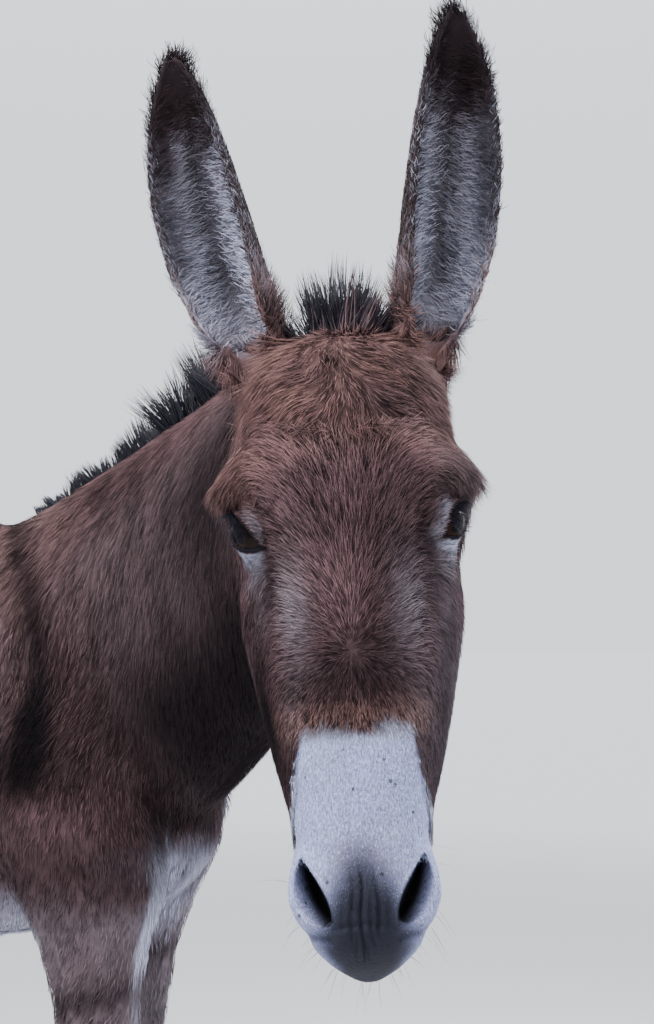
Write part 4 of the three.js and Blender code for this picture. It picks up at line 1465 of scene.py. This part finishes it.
class DONKEY_OT_coat_of_ears(bpy.types.Operator):
    """Short hair on the backs of the ears, long pale hair in the hollows and fringes on the rims"""

    bl_idname = "donkey.coat_of_ears"
    bl_label = "Coat of the ears"

    def execute(self, context):
        surface = Surface()
        locks = (0.005, 0.3)
        coat_piece("coat_ears", 13000, ear_back_share, surface, SEED + 20, 1.0, locks)
        dice = np.random.default_rng(SEED + 21)
        self.line(surface, dice)
        self.fringe(surface, dice)
        return {"FINISHED"}

    def line(self, surface, dice):
        """Long pale hair in the hollows."""
        share, across, hollow, hand = on_ear(surface.points)
        count = 9000
        weights = surface.share("ear") * hollow * (0.25 + rise(0.1, 0.5, np.abs(across)))
        weights = weights * rise(0.94, 0.8, share) * rise(-0.06, 0.03, share)
        weights = weights * (1 - rolled_rim(share, across * hand))
        weights = weights * (1 + 1.5 * rise(0.2, 0.08, share))
        roots, normals, regions, uv = surface.scatter(count, weights, dice)
        share = on_ear(roots)[0]
        way = flow(roots, normals, regions)
        way = unit(way + np.cross(normals, way) * dice.normal(0, 0.2, (count, 1)))
        reach = dice.uniform(16, 36, count) * MM * (1 - 0.4 * rise(0.6, 0.9, share))
        lift = dice.uniform(2, 7, count) * MM
        droop = np.tile([0, 0, -0.12], (count, 1)) - 0.1 * normals
        paths = curve(roots, way, normals, reach, lift, droop, 4, dice, 0.05)
        paths[:, -1] = gathered(paths[:, -1], roots, 0.010, 0.28, SEED)
        values = markings(roots, normals, regions)
        values["tint"] = np.clip(dice.normal(0.55, 0.3, count), 0, 1)
        values["dark"] = values["dark"] * 0.92
        widths = taper(dice.uniform(0.5, 0.85, count) * MM, 4)
        lining = tufts("ear_lining", paths, widths, normals, uv, values, coat_finish())

    def fringe(self, surface, dice):
        """Hair that stands out past the rims."""
        share, across, hollow, hand = on_ear(surface.points)
        of_ear = surface.share("ear")
        count = 5400
        weights = of_ear * rise(0.84, 0.95, np.abs(across)) * rise(0.03, 0.12, share)
        weights = weights * (1 + 1.6 * rise(0.6, 0.85, share))
        weights = weights + of_ear * 3 * rise(0.93, 0.97, share)
        front = 1.3 * of_ear * rise(0.42, 0.1, share) * rise(-0.25, -0.6, across * hand)
        weights = weights + front * (1 - hollow)
        roots, normals, regions, uv = surface.scatter(count, weights, dice)
        share, across, hollow, hand = on_ear(roots)
        facing = normals @ HEAD_AXES
        tangent = unit(np.stack([-facing[:, 1], facing[:, 0], np.zeros(count)], 1))
        tangent = tangent * (np.sign(across) * np.where(hollow > 0.5, 1, -1))[:, None]
        up = np.tile([0, 0, 1.0], (count, 1))
        at_tip = rise(0.8, 0.97, share)[:, None]
        foot = rise(0.42, 0.1, share) * rise(-0.1, -0.5, across * hand)
        inwards = np.stack([-hand * 0.55, np.full(count, -0.3), np.ones(count)], 1)
        way = unit(blend(tangent * 0.8 + up * 0.75, up - tangent * 0.25, at_tip))
        way = unit(blend(way, unit(inwards), foot[:, None])) @ HEAD_AXES.T
        way = unit(way + dice.normal(0, 0.22, (count, 3)))
        longer = 1 + 1.25 * rise(0.7, 0.95, share) + 1.6 * foot
        reach = dice.uniform(5, 13, count) * MM * longer
        droop = dice.normal(0, 0.08, (count, 3))
        paths = curve(roots, way, normals, reach, np.full(count, 0.6 * MM), droop, 4, dice, 0.04)
        paths[:, -1] = gathered(paths[:, -1], roots, 0.007, 0.45, SEED)
        values = markings(roots, normals, regions)
        bleached = 0.7 * dice.uniform(0, 1, count) * rise(0.85, 0.7, share)
        values["pale"] = np.maximum(values["pale"], bleached) * (1 - foot)
        values["dark"] = np.maximum(values["dark"], 0.6 * foot) * (1 - values["pale"])
        values["tint"] = np.clip(dice.normal(0.5, 0.3, count), 0, 1)
        widths = taper(dice.uniform(0.5, 0.9, count) * MM, 4)
        fringe = tufts("ear_fringes", paths, widths, normals, uv, values, coat_finish())


# ---- Mane, forelock and tail ----
# Stations along the mane's solid: how many, how far from its ends the outer ones lie, how far
# each one reaches along it, and which shares of the points there are its foot and its top.
CREST = {"stations": 12, "from_end": 0.008, "reach": 0.028, "foot": 0.35, "top": 0.8}


def crest_line():
    """The foot and the top of the mane's solid, the way it stands and the way it runs."""
    points = points_of(NODES["mane"].data)
    stands = unit(np.array([0.24, 0.40, 0.88]))
    ahead = unit(np.array([-0.42, -0.76, 0.5]))
    ahead = unit(ahead - stands * (ahead @ stands))
    along = points @ ahead
    height = points @ stands
    start, end = along.min() + CREST["from_end"], along.max() - CREST["from_end"]
    feet, tops = [], []
    for place in np.linspace(start, end, CREST["stations"]):
        near = np.abs(along - place) < CREST["reach"]
        low = near & (height < np.quantile(height[near], CREST["foot"]))
        high = near & (height >= np.quantile(height[near], CREST["top"]))
        feet.append(points[low].mean(0))
        tops.append(points[high].mean(0))
    return np.array(feet), np.array(tops), stands, ahead


def between_rows(rows, places):
    """Rows read at places that run from 0 to 1."""
    stations = np.linspace(0, 1, len(rows))
    return np.stack([np.interp(places, stations, rows[:, axis]) for axis in range(3)], 1)


def long_hair(name, paths, widths, ups, uv, values):
    material = finish("donkey_long_hair", long_hair_material)
    return tufts(name, paths, widths, ups, uv, values, material, 0.5)


def thick_and_thin(dice, count, thick, thin):
    """Widths of mixed hairs, three in ten of them thick."""
    width = np.where(dice.uniform(size=count) < 0.3, thick, thin)
    return width * MM * dice.uniform(0.8, 1.2, count)


class DONKEY_OT_mane(bpy.types.Operator):
    """The upright mane, in spiky locks along the crest of the neck"""

    bl_idname = "donkey.mane"
    bl_label = "Mane"

    def execute(self, context):
        dice = np.random.default_rng(SEED + 30)
        feet, tops, stands, ahead = crest_line()
        count, steps = 3600, 5
        places = dice.uniform(-0.03, 1.02, count)
        lock = np.round(places * 30 + dice.normal(0, 0.25, count))
        foot = between_rows(feet, np.clip(places, 0, 1))
        top = between_rows(tops, np.clip(places, 0, 1))
        aside = unit(np.cross(ahead, stands))
        across = dice.uniform(-11, 11, count) * MM
        root = foot - stands * 10 * MM + aside * across[:, None]
        heights = np.linalg.norm(top - foot, axis=1) + 0.012
        lock_dice = np.random.default_rng(SEED)
        by_lock = lock_dice.normal(0, 1, (80, 3))[lock.astype(int) + 20]
        spiky = 0.9 + 0.75 * rise(0.25, 0.85, places)
        reach = heights * dice.uniform(0.6, 1.1, count) * (1 + 0.2 * by_lock[:, 0]) * spiky
        way = stands + aside * (across * 14 + 0.15 * by_lock[:, 1])[:, None]
        way = way + ahead * (0.17 * by_lock[:, 2])[:, None]
        way = unit(way + dice.normal(0, 0.15, (count, 3)))
        droop = aside * (0.12 * by_lock[:, 1])[:, None] - ahead * 0.05
        ups = np.tile(aside, (count, 1))
        paths = curve(root, way, ups, reach, np.zeros(count), droop, steps, dice, 0.015)
        for ring in (2, 3, 4):
            paths[:, ring] = gathered(paths[:, ring], root, 0.014, 0.13 * ring, SEED)
        widths = taper(thick_and_thin(dice, count, 2.0, 0.9), steps, 1.0)
        uv = np.stack([0.02 + 0.9 * np.clip(places, 0, 1), 0.5 + across * 12], 1)
        values = tints(dice, count, warm=0.15 * (dice.uniform(size=count) < 0.05))
        mane = long_hair("mane_hair", paths, widths, ups, uv, values)
        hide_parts("mane")
        return {"FINISHED"}


class DONKEY_OT_forelock(bpy.types.Operator):
    """The brush of hair between the ears"""

    bl_idname = "donkey.forelock"
    bl_label = "Forelock"

    def execute(self, context):
        dice = np.random.default_rng(SEED + 31)
        count, steps, locks = 1700, 5, 34
        lock = dice.integers(0, locks, count)
        lock_x, lock_y = dice.uniform(-23, 23, locks), dice.uniform(-13, 20, locks)
        lean = dice.normal(0, 0.13, (locks, 3))
        tall = dice.uniform(0.6, 1.1, locks)
        x = np.clip(lock_x[lock] + dice.normal(0, 4.5, count), -27, 27)
        y = lock_y[lock] + dice.normal(0, 4.0, count)
        root_up = -14 - (x / 26) ** 2 * 6
        root = from_head(np.stack([x, y, root_up], 1))
        spread = lock_x[lock] / 23
        way = np.stack([0.5 * spread, -0.12 - 0.006 * y, np.ones(count)], 1) + lean[lock]
        way = unit(way + dice.normal(0, 0.07, (count, 3))) @ HEAD_AXES.T
        reach = (112 - 34 * np.abs(spread)) * tall[lock] * dice.uniform(0.45, 1.0, count) * MM
        ups = np.tile(HEAD_AXES @ np.array([0, -1.0, 0]), (count, 1))
        droop = np.stack([0.16 * spread, np.full(count, -0.10), -0.05 * np.abs(spread)], 1)
        droop = droop @ HEAD_AXES.T
        paths = curve(root, way, ups, reach, np.zeros(count), droop, steps, dice, 0.02)
        for ring in (2, 3, 4):
            paths[:, ring] = drawn(paths[:, ring], lock, 0.11 * ring)
        widths = taper(thick_and_thin(dice, count, 1.9, 0.8), steps, 1.0)
        uv = np.stack([0.5 + x / 80, 0.5 + y / 80], 1)
        brown = (dice.uniform(size=count) < 0.07) * 0.3
        brown = brown + rise(-10, -15, y) * dice.uniform(0, 0.5, count)
        values = tints(dice, count, warm=brown)
        forelock = long_hair("forelock_hair", paths, widths, ups, uv, values)
        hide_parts("forelock")
        return {"FINISHED"}


class DONKEY_OT_tail_tassel(bpy.types.Operator):
    """The long hair at the end of the tail"""

    bl_idname = "donkey.tail_tassel"
    bl_label = "Tail tassel"

    def execute(self, context):
        dice = np.random.default_rng(SEED + 32)
        solid = points_of(NODES["tail_tassel"].data)
        low, high = solid[:, 2].min(), solid[:, 2].max()
        # The solid's middle and half its width, from its foot to its top.
        rows = []
        for level in np.linspace(low, high, 9):
            near = solid[np.abs(solid[:, 2] - level) < 0.03]
            rows.append([*near[:, :2].mean(0), np.ptp(near[:, 0]) / 2])
        rows = np.array(rows)
        count, steps = 1500, 8
        top = high + 0.05 - dice.uniform(0, 1, count) ** 1.2 * (high - low) * 0.6
        end = low + dice.uniform(0, 1, count) ** 1.4 * 0.15
        end = np.maximum(end, top - dice.uniform(0.12, 0.32, count))
        turn = dice.uniform(0, 2 * math.pi, count)
        away = np.sqrt(dice.uniform(0.05, 1, count))
        share = np.linspace(0, 1, steps)[None]
        heights = top[:, None] + (end - top)[:, None] * share
        place = (heights - low) / (high - low)
        middle = between_rows(rows, place.ravel()).reshape(count, steps, 3)
        radius = middle[:, :, 2] * away[:, None] * np.sin(0.35 + share * 1.6)
        wave = 0.18 * np.sin(share * 9 + turn[:, None] * 3)
        x = middle[:, :, 0] + radius * np.cos(turn[:, None] + wave)
        y = middle[:, :, 1] + radius * np.sin(turn[:, None] + wave)
        paths = np.stack([x, y, heights], 2)
        for ring in range(3, steps):
            locks = gathered(paths[:, ring], paths[:, 2], 0.012, 0.11 * ring, SEED)
            paths[:, ring, :2] = locks[:, :2]
        ups = np.stack([np.cos(turn), np.sin(turn), np.zeros(count)], 1)
        widths = taper(dice.uniform(1.2, 3.0, count) * MM, steps, 1.0)
        uv = np.stack([0.5 + 0.4 * np.cos(turn), 0.5 + 0.4 * np.sin(turn)], 1)
        tassel = long_hair("tail_hair", paths, widths, ups, uv, tints(dice, count))
        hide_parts("tail_tassel")
        return {"FINISHED"}


# ---- Eyes, lashes and whiskers ----
class DONKEY_OT_eyes(bpy.types.Operator):
    """Eyeballs with a bulging cornea over a dark iris and a level pupil"""

    bl_idname = "donkey.eyes"
    bl_label = "Eyes"

    def execute(self, context):
        for hand, name in ((RIGHT, "right"), (LEFT, "left")):
            bpy.ops.object.select_all(action="DESELECT")
            place = from_head(eye_middle(hand))
            bpy.ops.mesh.primitive_uv_sphere_add(
                segments=64, ring_count=40, radius=EYE_RADIUS * MM, location=place
            )
            ball = context.object
            ball.name = "eyeball_" + name
            bpy.ops.object.transform_apply(location=True, rotation=False, scale=False)
            offset = on_head(points_of(ball.data)) - eye_middle(hand)
            ahead, along, up = (unit(offset) @ eye_axes(hand).T).T
            cornea = 1 + 0.075 * rise(0.74, 1.0, ahead)
            move_points(ball.data, from_head(eye_middle(hand) + offset * cornea[:, None]))
            set_attribute(ball.data, "across", np.where(ahead > 0, along * EYE_RADIUS, 30))
            set_attribute(ball.data, "up", up * EYE_RADIUS)
            bpy.ops.object.shade_smooth()
            ball.data.materials.append(finish("donkey_eye", eye_material))
            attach(ball, "root")
            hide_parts("eye_" + name)
        return {"FINISHED"}


# Rows of lashes: whether on the upper lid, how many, and their shortest and longest.
LASHES = ((True, 120, 11, 21), (True, 24, 20, 28), (False, 26, 4, 9))


def lash_row(hand, upper, count, shortest, longest, dice):
    """Paths that leave one lid's rim and hang over the eye's outer half, and the way out of it."""
    axes = eye_axes(hand)
    span = LID_HALF_LENGTH[hand]
    along = np.linspace(-0.93, 0.72, count) * span + dice.normal(0, 0.4, count)
    along = np.clip(along, -0.97 * span, 0.97 * span)
    half = (LID["upper"] if upper else -LID["lower"]) * (1 - (along / span) ** 2) ** 0.7
    side = np.stack([np.zeros(count), along + LID_SHIFT[hand], half], 1) / EYE_RADIUS
    side[:, 0] = np.sqrt(np.maximum(1 - (side**2).sum(1), 0.05))
    root = eye_middle(hand) + side @ axes * (EYE_RADIUS + 1.4)
    spread = along / span
    lean = 0.45 if upper else -0.5
    way = np.stack([np.full(count, 1.0), 0.5 * spread - 0.25, np.full(count, lean)], 1)
    way = unit(way + dice.normal(0, 0.10, (count, 3))) @ axes
    reach = dice.uniform(shortest, longest, count) * (1 - 0.35 * np.abs(spread))
    fall = np.array([0, 0, -0.75]) if upper else np.array([0, 0, 0.1])
    droop = np.tile(fall, (count, 1)) + dice.normal(0, 0.08, (count, 3))
    share = np.linspace(0, 1, 6)[None, :, None]
    paths = root[:, None] + way[:, None] * reach[:, None, None] * share
    return paths + droop[:, None] * reach[:, None, None] * share**2, axes[0]


class DONKEY_OT_lashes(bpy.types.Operator):
    """Eyelashes, and the feelers round the lips and chin"""

    bl_idname = "donkey.lashes"
    bl_label = "Lashes and feelers"

    def execute(self, context):
        dice = np.random.default_rng(SEED + 40)
        self.lashes(dice)
        self.feelers(dice)
        return {"FINISHED"}

    def lashes(self, dice):
        rows, ups = [], []
        for hand in (RIGHT, LEFT):
            for row in LASHES:
                paths, out = lash_row(hand, *row, dice)
                rows.append(paths)
                ups.append(np.tile(HEAD_AXES @ out, (len(paths), 1)))
        paths = np.concatenate(rows)
        count = len(paths)
        places = from_head(paths.reshape(-1, 3)).reshape(paths.shape)
        widths = taper(dice.uniform(0.35, 0.6, count) * MM, paths.shape[1], 1.0)
        uv = np.stack([np.linspace(0.1, 0.9, count), np.full(count, 0.5)], 1)
        values = tints(dice, count)
        lashes = long_hair("lashes", places, widths, np.concatenate(ups), uv, values)

    def feelers(self, dice):
        surface = Surface()
        _, y, down = aside_back_down(on_head(surface.points))
        weights = surface.share("head") * rise(400, 440, down) * rise(-66, -50, y)
        weights = weights * (0.3 + rise(470, 500, down) + rise(0, 20, y))
        count = 90
        roots, normals, _, uv = surface.scatter(count, weights, dice)
        way = unit(normals + np.array([0, 0, -0.35]) + dice.normal(0, 0.2, (count, 3)))
        reach = dice.uniform(9, 26, count) * MM
        droop = np.tile([0, 0, -0.25], (count, 1))
        up = np.tile([0, 0, 1.0], (count, 1))
        steps = 6
        paths = curve(roots, way, up, reach, np.zeros(count), droop, steps, dice, 0.02)
        widths = taper(dice.uniform(0.25, 0.4, count) * MM, steps, 1.0)
        feelers = long_hair("feelers", paths, widths, normals, uv, tints(dice, count))


# ---- Hooves ----
HOOF = {
    "toe": 51,
    "top_toe": 41,
    "heel": 37,
    "half_width": 40,
    "top_half_width": 36.5,
    "height": 58,
    "lean": 16,  # how far ahead of the coronet the wall meets the ground
    "coronet": 67,  # from the toe's front back to the coronet's middle
    "slope": 18,  # degrees by which the coronet falls to the heel
    "hollow": 5,  # how deep the sole is hollow
}
# Rings of the wall as shares of the hoof's height; past 1 they close over its top.
HOOF_LEVELS = (0.03, 0.2, 0.45, 0.7, 0.86, 0.95, 1.0, 1.04)


def hoof_ring(angle, share):
    """Across and ahead of a ring's point, blunt at the heel, at a share of the hoof's height."""
    toe = blend(HOOF["toe"], HOOF["top_toe"], share)
    half_width = blend(HOOF["half_width"], HOOF["top_half_width"], share)
    across, ahead = np.cos(angle), np.sin(angle)
    heel = HOOF["heel"] * np.where(ahead < 0, np.abs(ahead) ** 0.8, 0)
    dent = 9 * bell(across, 0, 0.33) * (ahead < 0)
    lean = blend(HOOF["lean"], 0, share)
    return half_width * across, np.where(ahead > 0, toe * ahead, -(heel - dent)) + lean


class DONKEY_OT_hooves(bpy.types.Operator):
    """Four hooves with a coronet, a cleft heel and a hollow sole"""

    bl_idname = "donkey.hooves"
    bl_label = "Hooves"

    def execute(self, context):
        for node in HOOVES:
            low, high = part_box(node)
            coronet = Vector(((low[0] + high[0]) / 2, low[1] + HOOF["coronet"] * MM, 0))
            self.model(context, node, coronet)
        return {"FINISHED"}

    def model(self, context, node, coronet):
        bpy.ops.object.select_all(action="DESELECT")
        bpy.ops.mesh.primitive_circle_add(
            vertices=40, radius=1, fill_type="NGON", location=(0, 0, 0)
        )
        hoof = context.object
        hoof.name = node + "_horn"
        bpy.ops.object.mode_set(mode="EDIT")
        # The sole's hollow, then the wall in rings up to the coronet and in over it.
        bpy.ops.mesh.select_all(action="SELECT")
        bpy.ops.mesh.inset(thickness=0.16)
        bpy.ops.mesh.inset(thickness=0.06)
        bpy.ops.object.mode_set(mode="OBJECT")
        form = bmesh.new()
        form.from_mesh(hoof.data)
        sole = max(form.faces, key=lambda face: len(face.verts))
        for vertex in sole.verts:
            vertex.co.z = 0.05
        rim = [edge for edge in form.edges if edge.is_boundary]
        for level in HOOF_LEVELS:
            walls = bmesh.ops.extrude_edge_only(form, edges=rim)["geom"]
            rim = [part for part in walls if isinstance(part, bmesh.types.BMEdge)]
            rim = [edge for edge in rim if edge.is_boundary]
            for vertex in {vertex for edge in rim for vertex in edge.verts}:
                vertex.co.z = level
                if level > 1:
                    vertex.co.xy *= 0.86
        bmesh.ops.contextual_create(form, geom=rim)
        for vertex in form.verts:
            reach = math.hypot(vertex.co.x, vertex.co.y)
            share = min(vertex.co.z, 1.0)
            flare = 1 + 0.03 * bell(share, 0.86, 0.06) - 0.10 * rise(0.9, 1.0, share)
            across, ahead = hoof_ring(math.atan2(vertex.co.y, vertex.co.x), share)
            slope = math.tan(math.radians(HOOF["slope"])) * share**2
            of_sole = vertex.co.z <= 0.06 and reach <= 0.83
            height = HOOF["hollow"] * (reach < 0.83) if of_sole else vertex.co.z * HOOF["height"]
            up = height + ahead * reach * slope
            vertex.co = Vector((across * reach * flare, -ahead * reach * flare, up)) * MM
            vertex.co += coronet
        form.normal_update()
        bmesh.ops.recalc_face_normals(form, faces=form.faces)
        form.to_mesh(hoof.data)
        form.free()
        modifier = hoof.modifiers.new("round", "SUBSURF")
        modifier.levels = 2
        modifier.render_levels = 2
        select_only(hoof)
        bpy.ops.object.modifier_apply(modifier=modifier.name)
        bpy.ops.object.shade_smooth()
        points = points_of(hoof.data)
        points[:, 2] = np.maximum(points[:, 2], 0)
        move_points(hoof.data, points)
        hoof.data.materials.append(finish("donkey_horn", horn_material))
        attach(hoof, "root")
        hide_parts(node)


# ---- Stage ----
CAMERA = {"place": (-1.2963, -1.0355, 1.08), "heading": 18, "raised": 4, "lens": 46.76}
FLOOR_RADIUS = 30


def studio_world():
    """Even light all round, brighter overhead and behind the animal."""
    world = bpy.data.worlds.new("studio")
    world.use_nodes = True
    tree = world.node_tree
    background = tree.nodes["Background"]
    background.inputs["Color"].default_value = (*BACKDROP["tone"], 1)
    place = tree.nodes.new("ShaderNodeTexCoord")
    heading = math.radians(CAMERA["heading"])
    behind = (math.cos(heading), math.sin(heading), 0)
    level = None
    for way, start, end, strength in (
        (behind, -0.1, 0.75, BACKDROP["strength"] - BACKDROP["front"]),
        ((0, 0, 1), 0.25, 0.95, BACKDROP["overhead"]),
    ):
        turned = tree.nodes.new("ShaderNodeVectorMath")
        turned.operation = "DOT_PRODUCT"
        turned.inputs[1].default_value = way
        tree.links.new(place.outputs["Generated"], turned.inputs[0])
        share = tree.nodes.new("ShaderNodeMapRange")
        share.interpolation_type = "SMOOTHSTEP"
        share.inputs["From Min"].default_value = start
        share.inputs["From Max"].default_value = end
        share.inputs["To Max"].default_value = strength
        tree.links.new(turned.outputs["Value"], share.inputs["Value"])
        total = tree.nodes.new("ShaderNodeMath")
        total.inputs[1].default_value = BACKDROP["front"]
        if level:
            tree.links.new(level, total.inputs[1])
        tree.links.new(share.outputs["Result"], total.inputs[0])
        level = total.outputs["Value"]
    tree.links.new(level, background.inputs["Strength"])
    return world


def soft_light(name, place, target, size, power, tone):
    light = bpy.data.lights.new(name, "AREA")
    light.shape = "DISK"
    light.size = size
    light.energy = power
    light.color = tone
    holder = bpy.data.objects.new(name, light)
    holder.location = place
    holder.rotation_euler = (Vector(target) - Vector(place)).to_track_quat("-Z", "Y").to_euler()
    bpy.context.scene.collection.objects.link(holder)


class DONKEY_OT_stage(bpy.types.Operator):
    """A pale floor, soft studio lights and the camera"""

    bl_idname = "donkey.stage"
    bl_label = "Stage"

    def execute(self, context):
        bpy.ops.object.select_all(action="DESELECT")
        bpy.ops.mesh.primitive_circle_add(
            vertices=96, radius=FLOOR_RADIUS, fill_type="NGON", location=(0, 0, 0)
        )
        floor = context.object
        floor.name = "studio_floor"
        floor.data.materials.append(floor_material())
        context.scene.world = studio_world()
        head = POLL - np.array([0, 0, 0.2])
        neck = POLL + np.array([0.2, 0.5, -0.2])
        soft_light("key", (-2.6, -1.6, 3.4), head, 2.2, 120, (1.0, 0.97, 0.94))
        soft_light("fill", (-3.2, 0.9, 1.8), head, 3.0, 30, (0.86, 0.9, 1.0))
        soft_light("top", (-0.9, 0.6, 3.0), neck, 1.8, 130, (1.0, 0.98, 0.96))
        soft_light("rim", (1.2, -2.0, 2.6), head, 1.8, 125, (0.88, 0.92, 1.0))
        lens = bpy.data.cameras.new("camera")
        lens.sensor_width = 36
        lens.lens = CAMERA["lens"]
        lens.dof.use_dof = False
        camera = bpy.data.objects.new("camera", lens)
        camera.location = CAMERA["place"]
        camera.rotation_euler = (
            math.radians(90 + CAMERA["raised"]),
            0,
            math.radians(CAMERA["heading"] - 90),
        )
        context.scene.collection.objects.link(camera)
        context.scene.camera = camera
        return {"FINISHED"}


class DONKEY_PT_panel(bpy.types.Panel):
    """Sizes, colours and pieces of the donkey"""

    bl_idname = "DONKEY_PT_panel"
    bl_label = "Donkey"
    bl_space_type = "VIEW_3D"
    bl_region_type = "UI"
    bl_category = "Donkey"

    def draw(self, context):
        for group in (context.scene.donkey_sizes, context.scene.donkey_colours):
            box = self.layout.box()
            for name in group.__annotations__:
                box.prop(group, name)
        for operator in OPERATORS:
            self.layout.operator(operator.bl_idname)


OPERATORS = (
    DONKEY_OT_skin,
    DONKEY_OT_coat_of_head,
    DONKEY_OT_coat_of_body,
    DONKEY_OT_coat_of_ears,
    DONKEY_OT_mane,
    DONKEY_OT_forelock,
    DONKEY_OT_tail_tassel,
    DONKEY_OT_eyes,
    DONKEY_OT_lashes,
    DONKEY_OT_hooves,
    DONKEY_OT_stage,
)
CLASSES = (DonkeySizes, DonkeyColours, *OPERATORS, DONKEY_PT_panel)


def register():
    for cls in CLASSES:
        bpy.utils.register_class(cls)
    bpy.types.Scene.donkey_sizes = PointerProperty(type=DonkeySizes)
    bpy.types.Scene.donkey_colours = PointerProperty(type=DonkeyColours)


def unregister():
    del bpy.types.Scene.donkey_colours
    del bpy.types.Scene.donkey_sizes
    for cls in reversed(CLASSES):
        bpy.utils.unregister_class(cls)


def main():
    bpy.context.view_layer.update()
    register()
    for operator in OPERATORS:
        getattr(bpy.ops.donkey, operator.__name__.removeprefix("DONKEY_OT_"))()


if __name__ == "__main__":
    main()
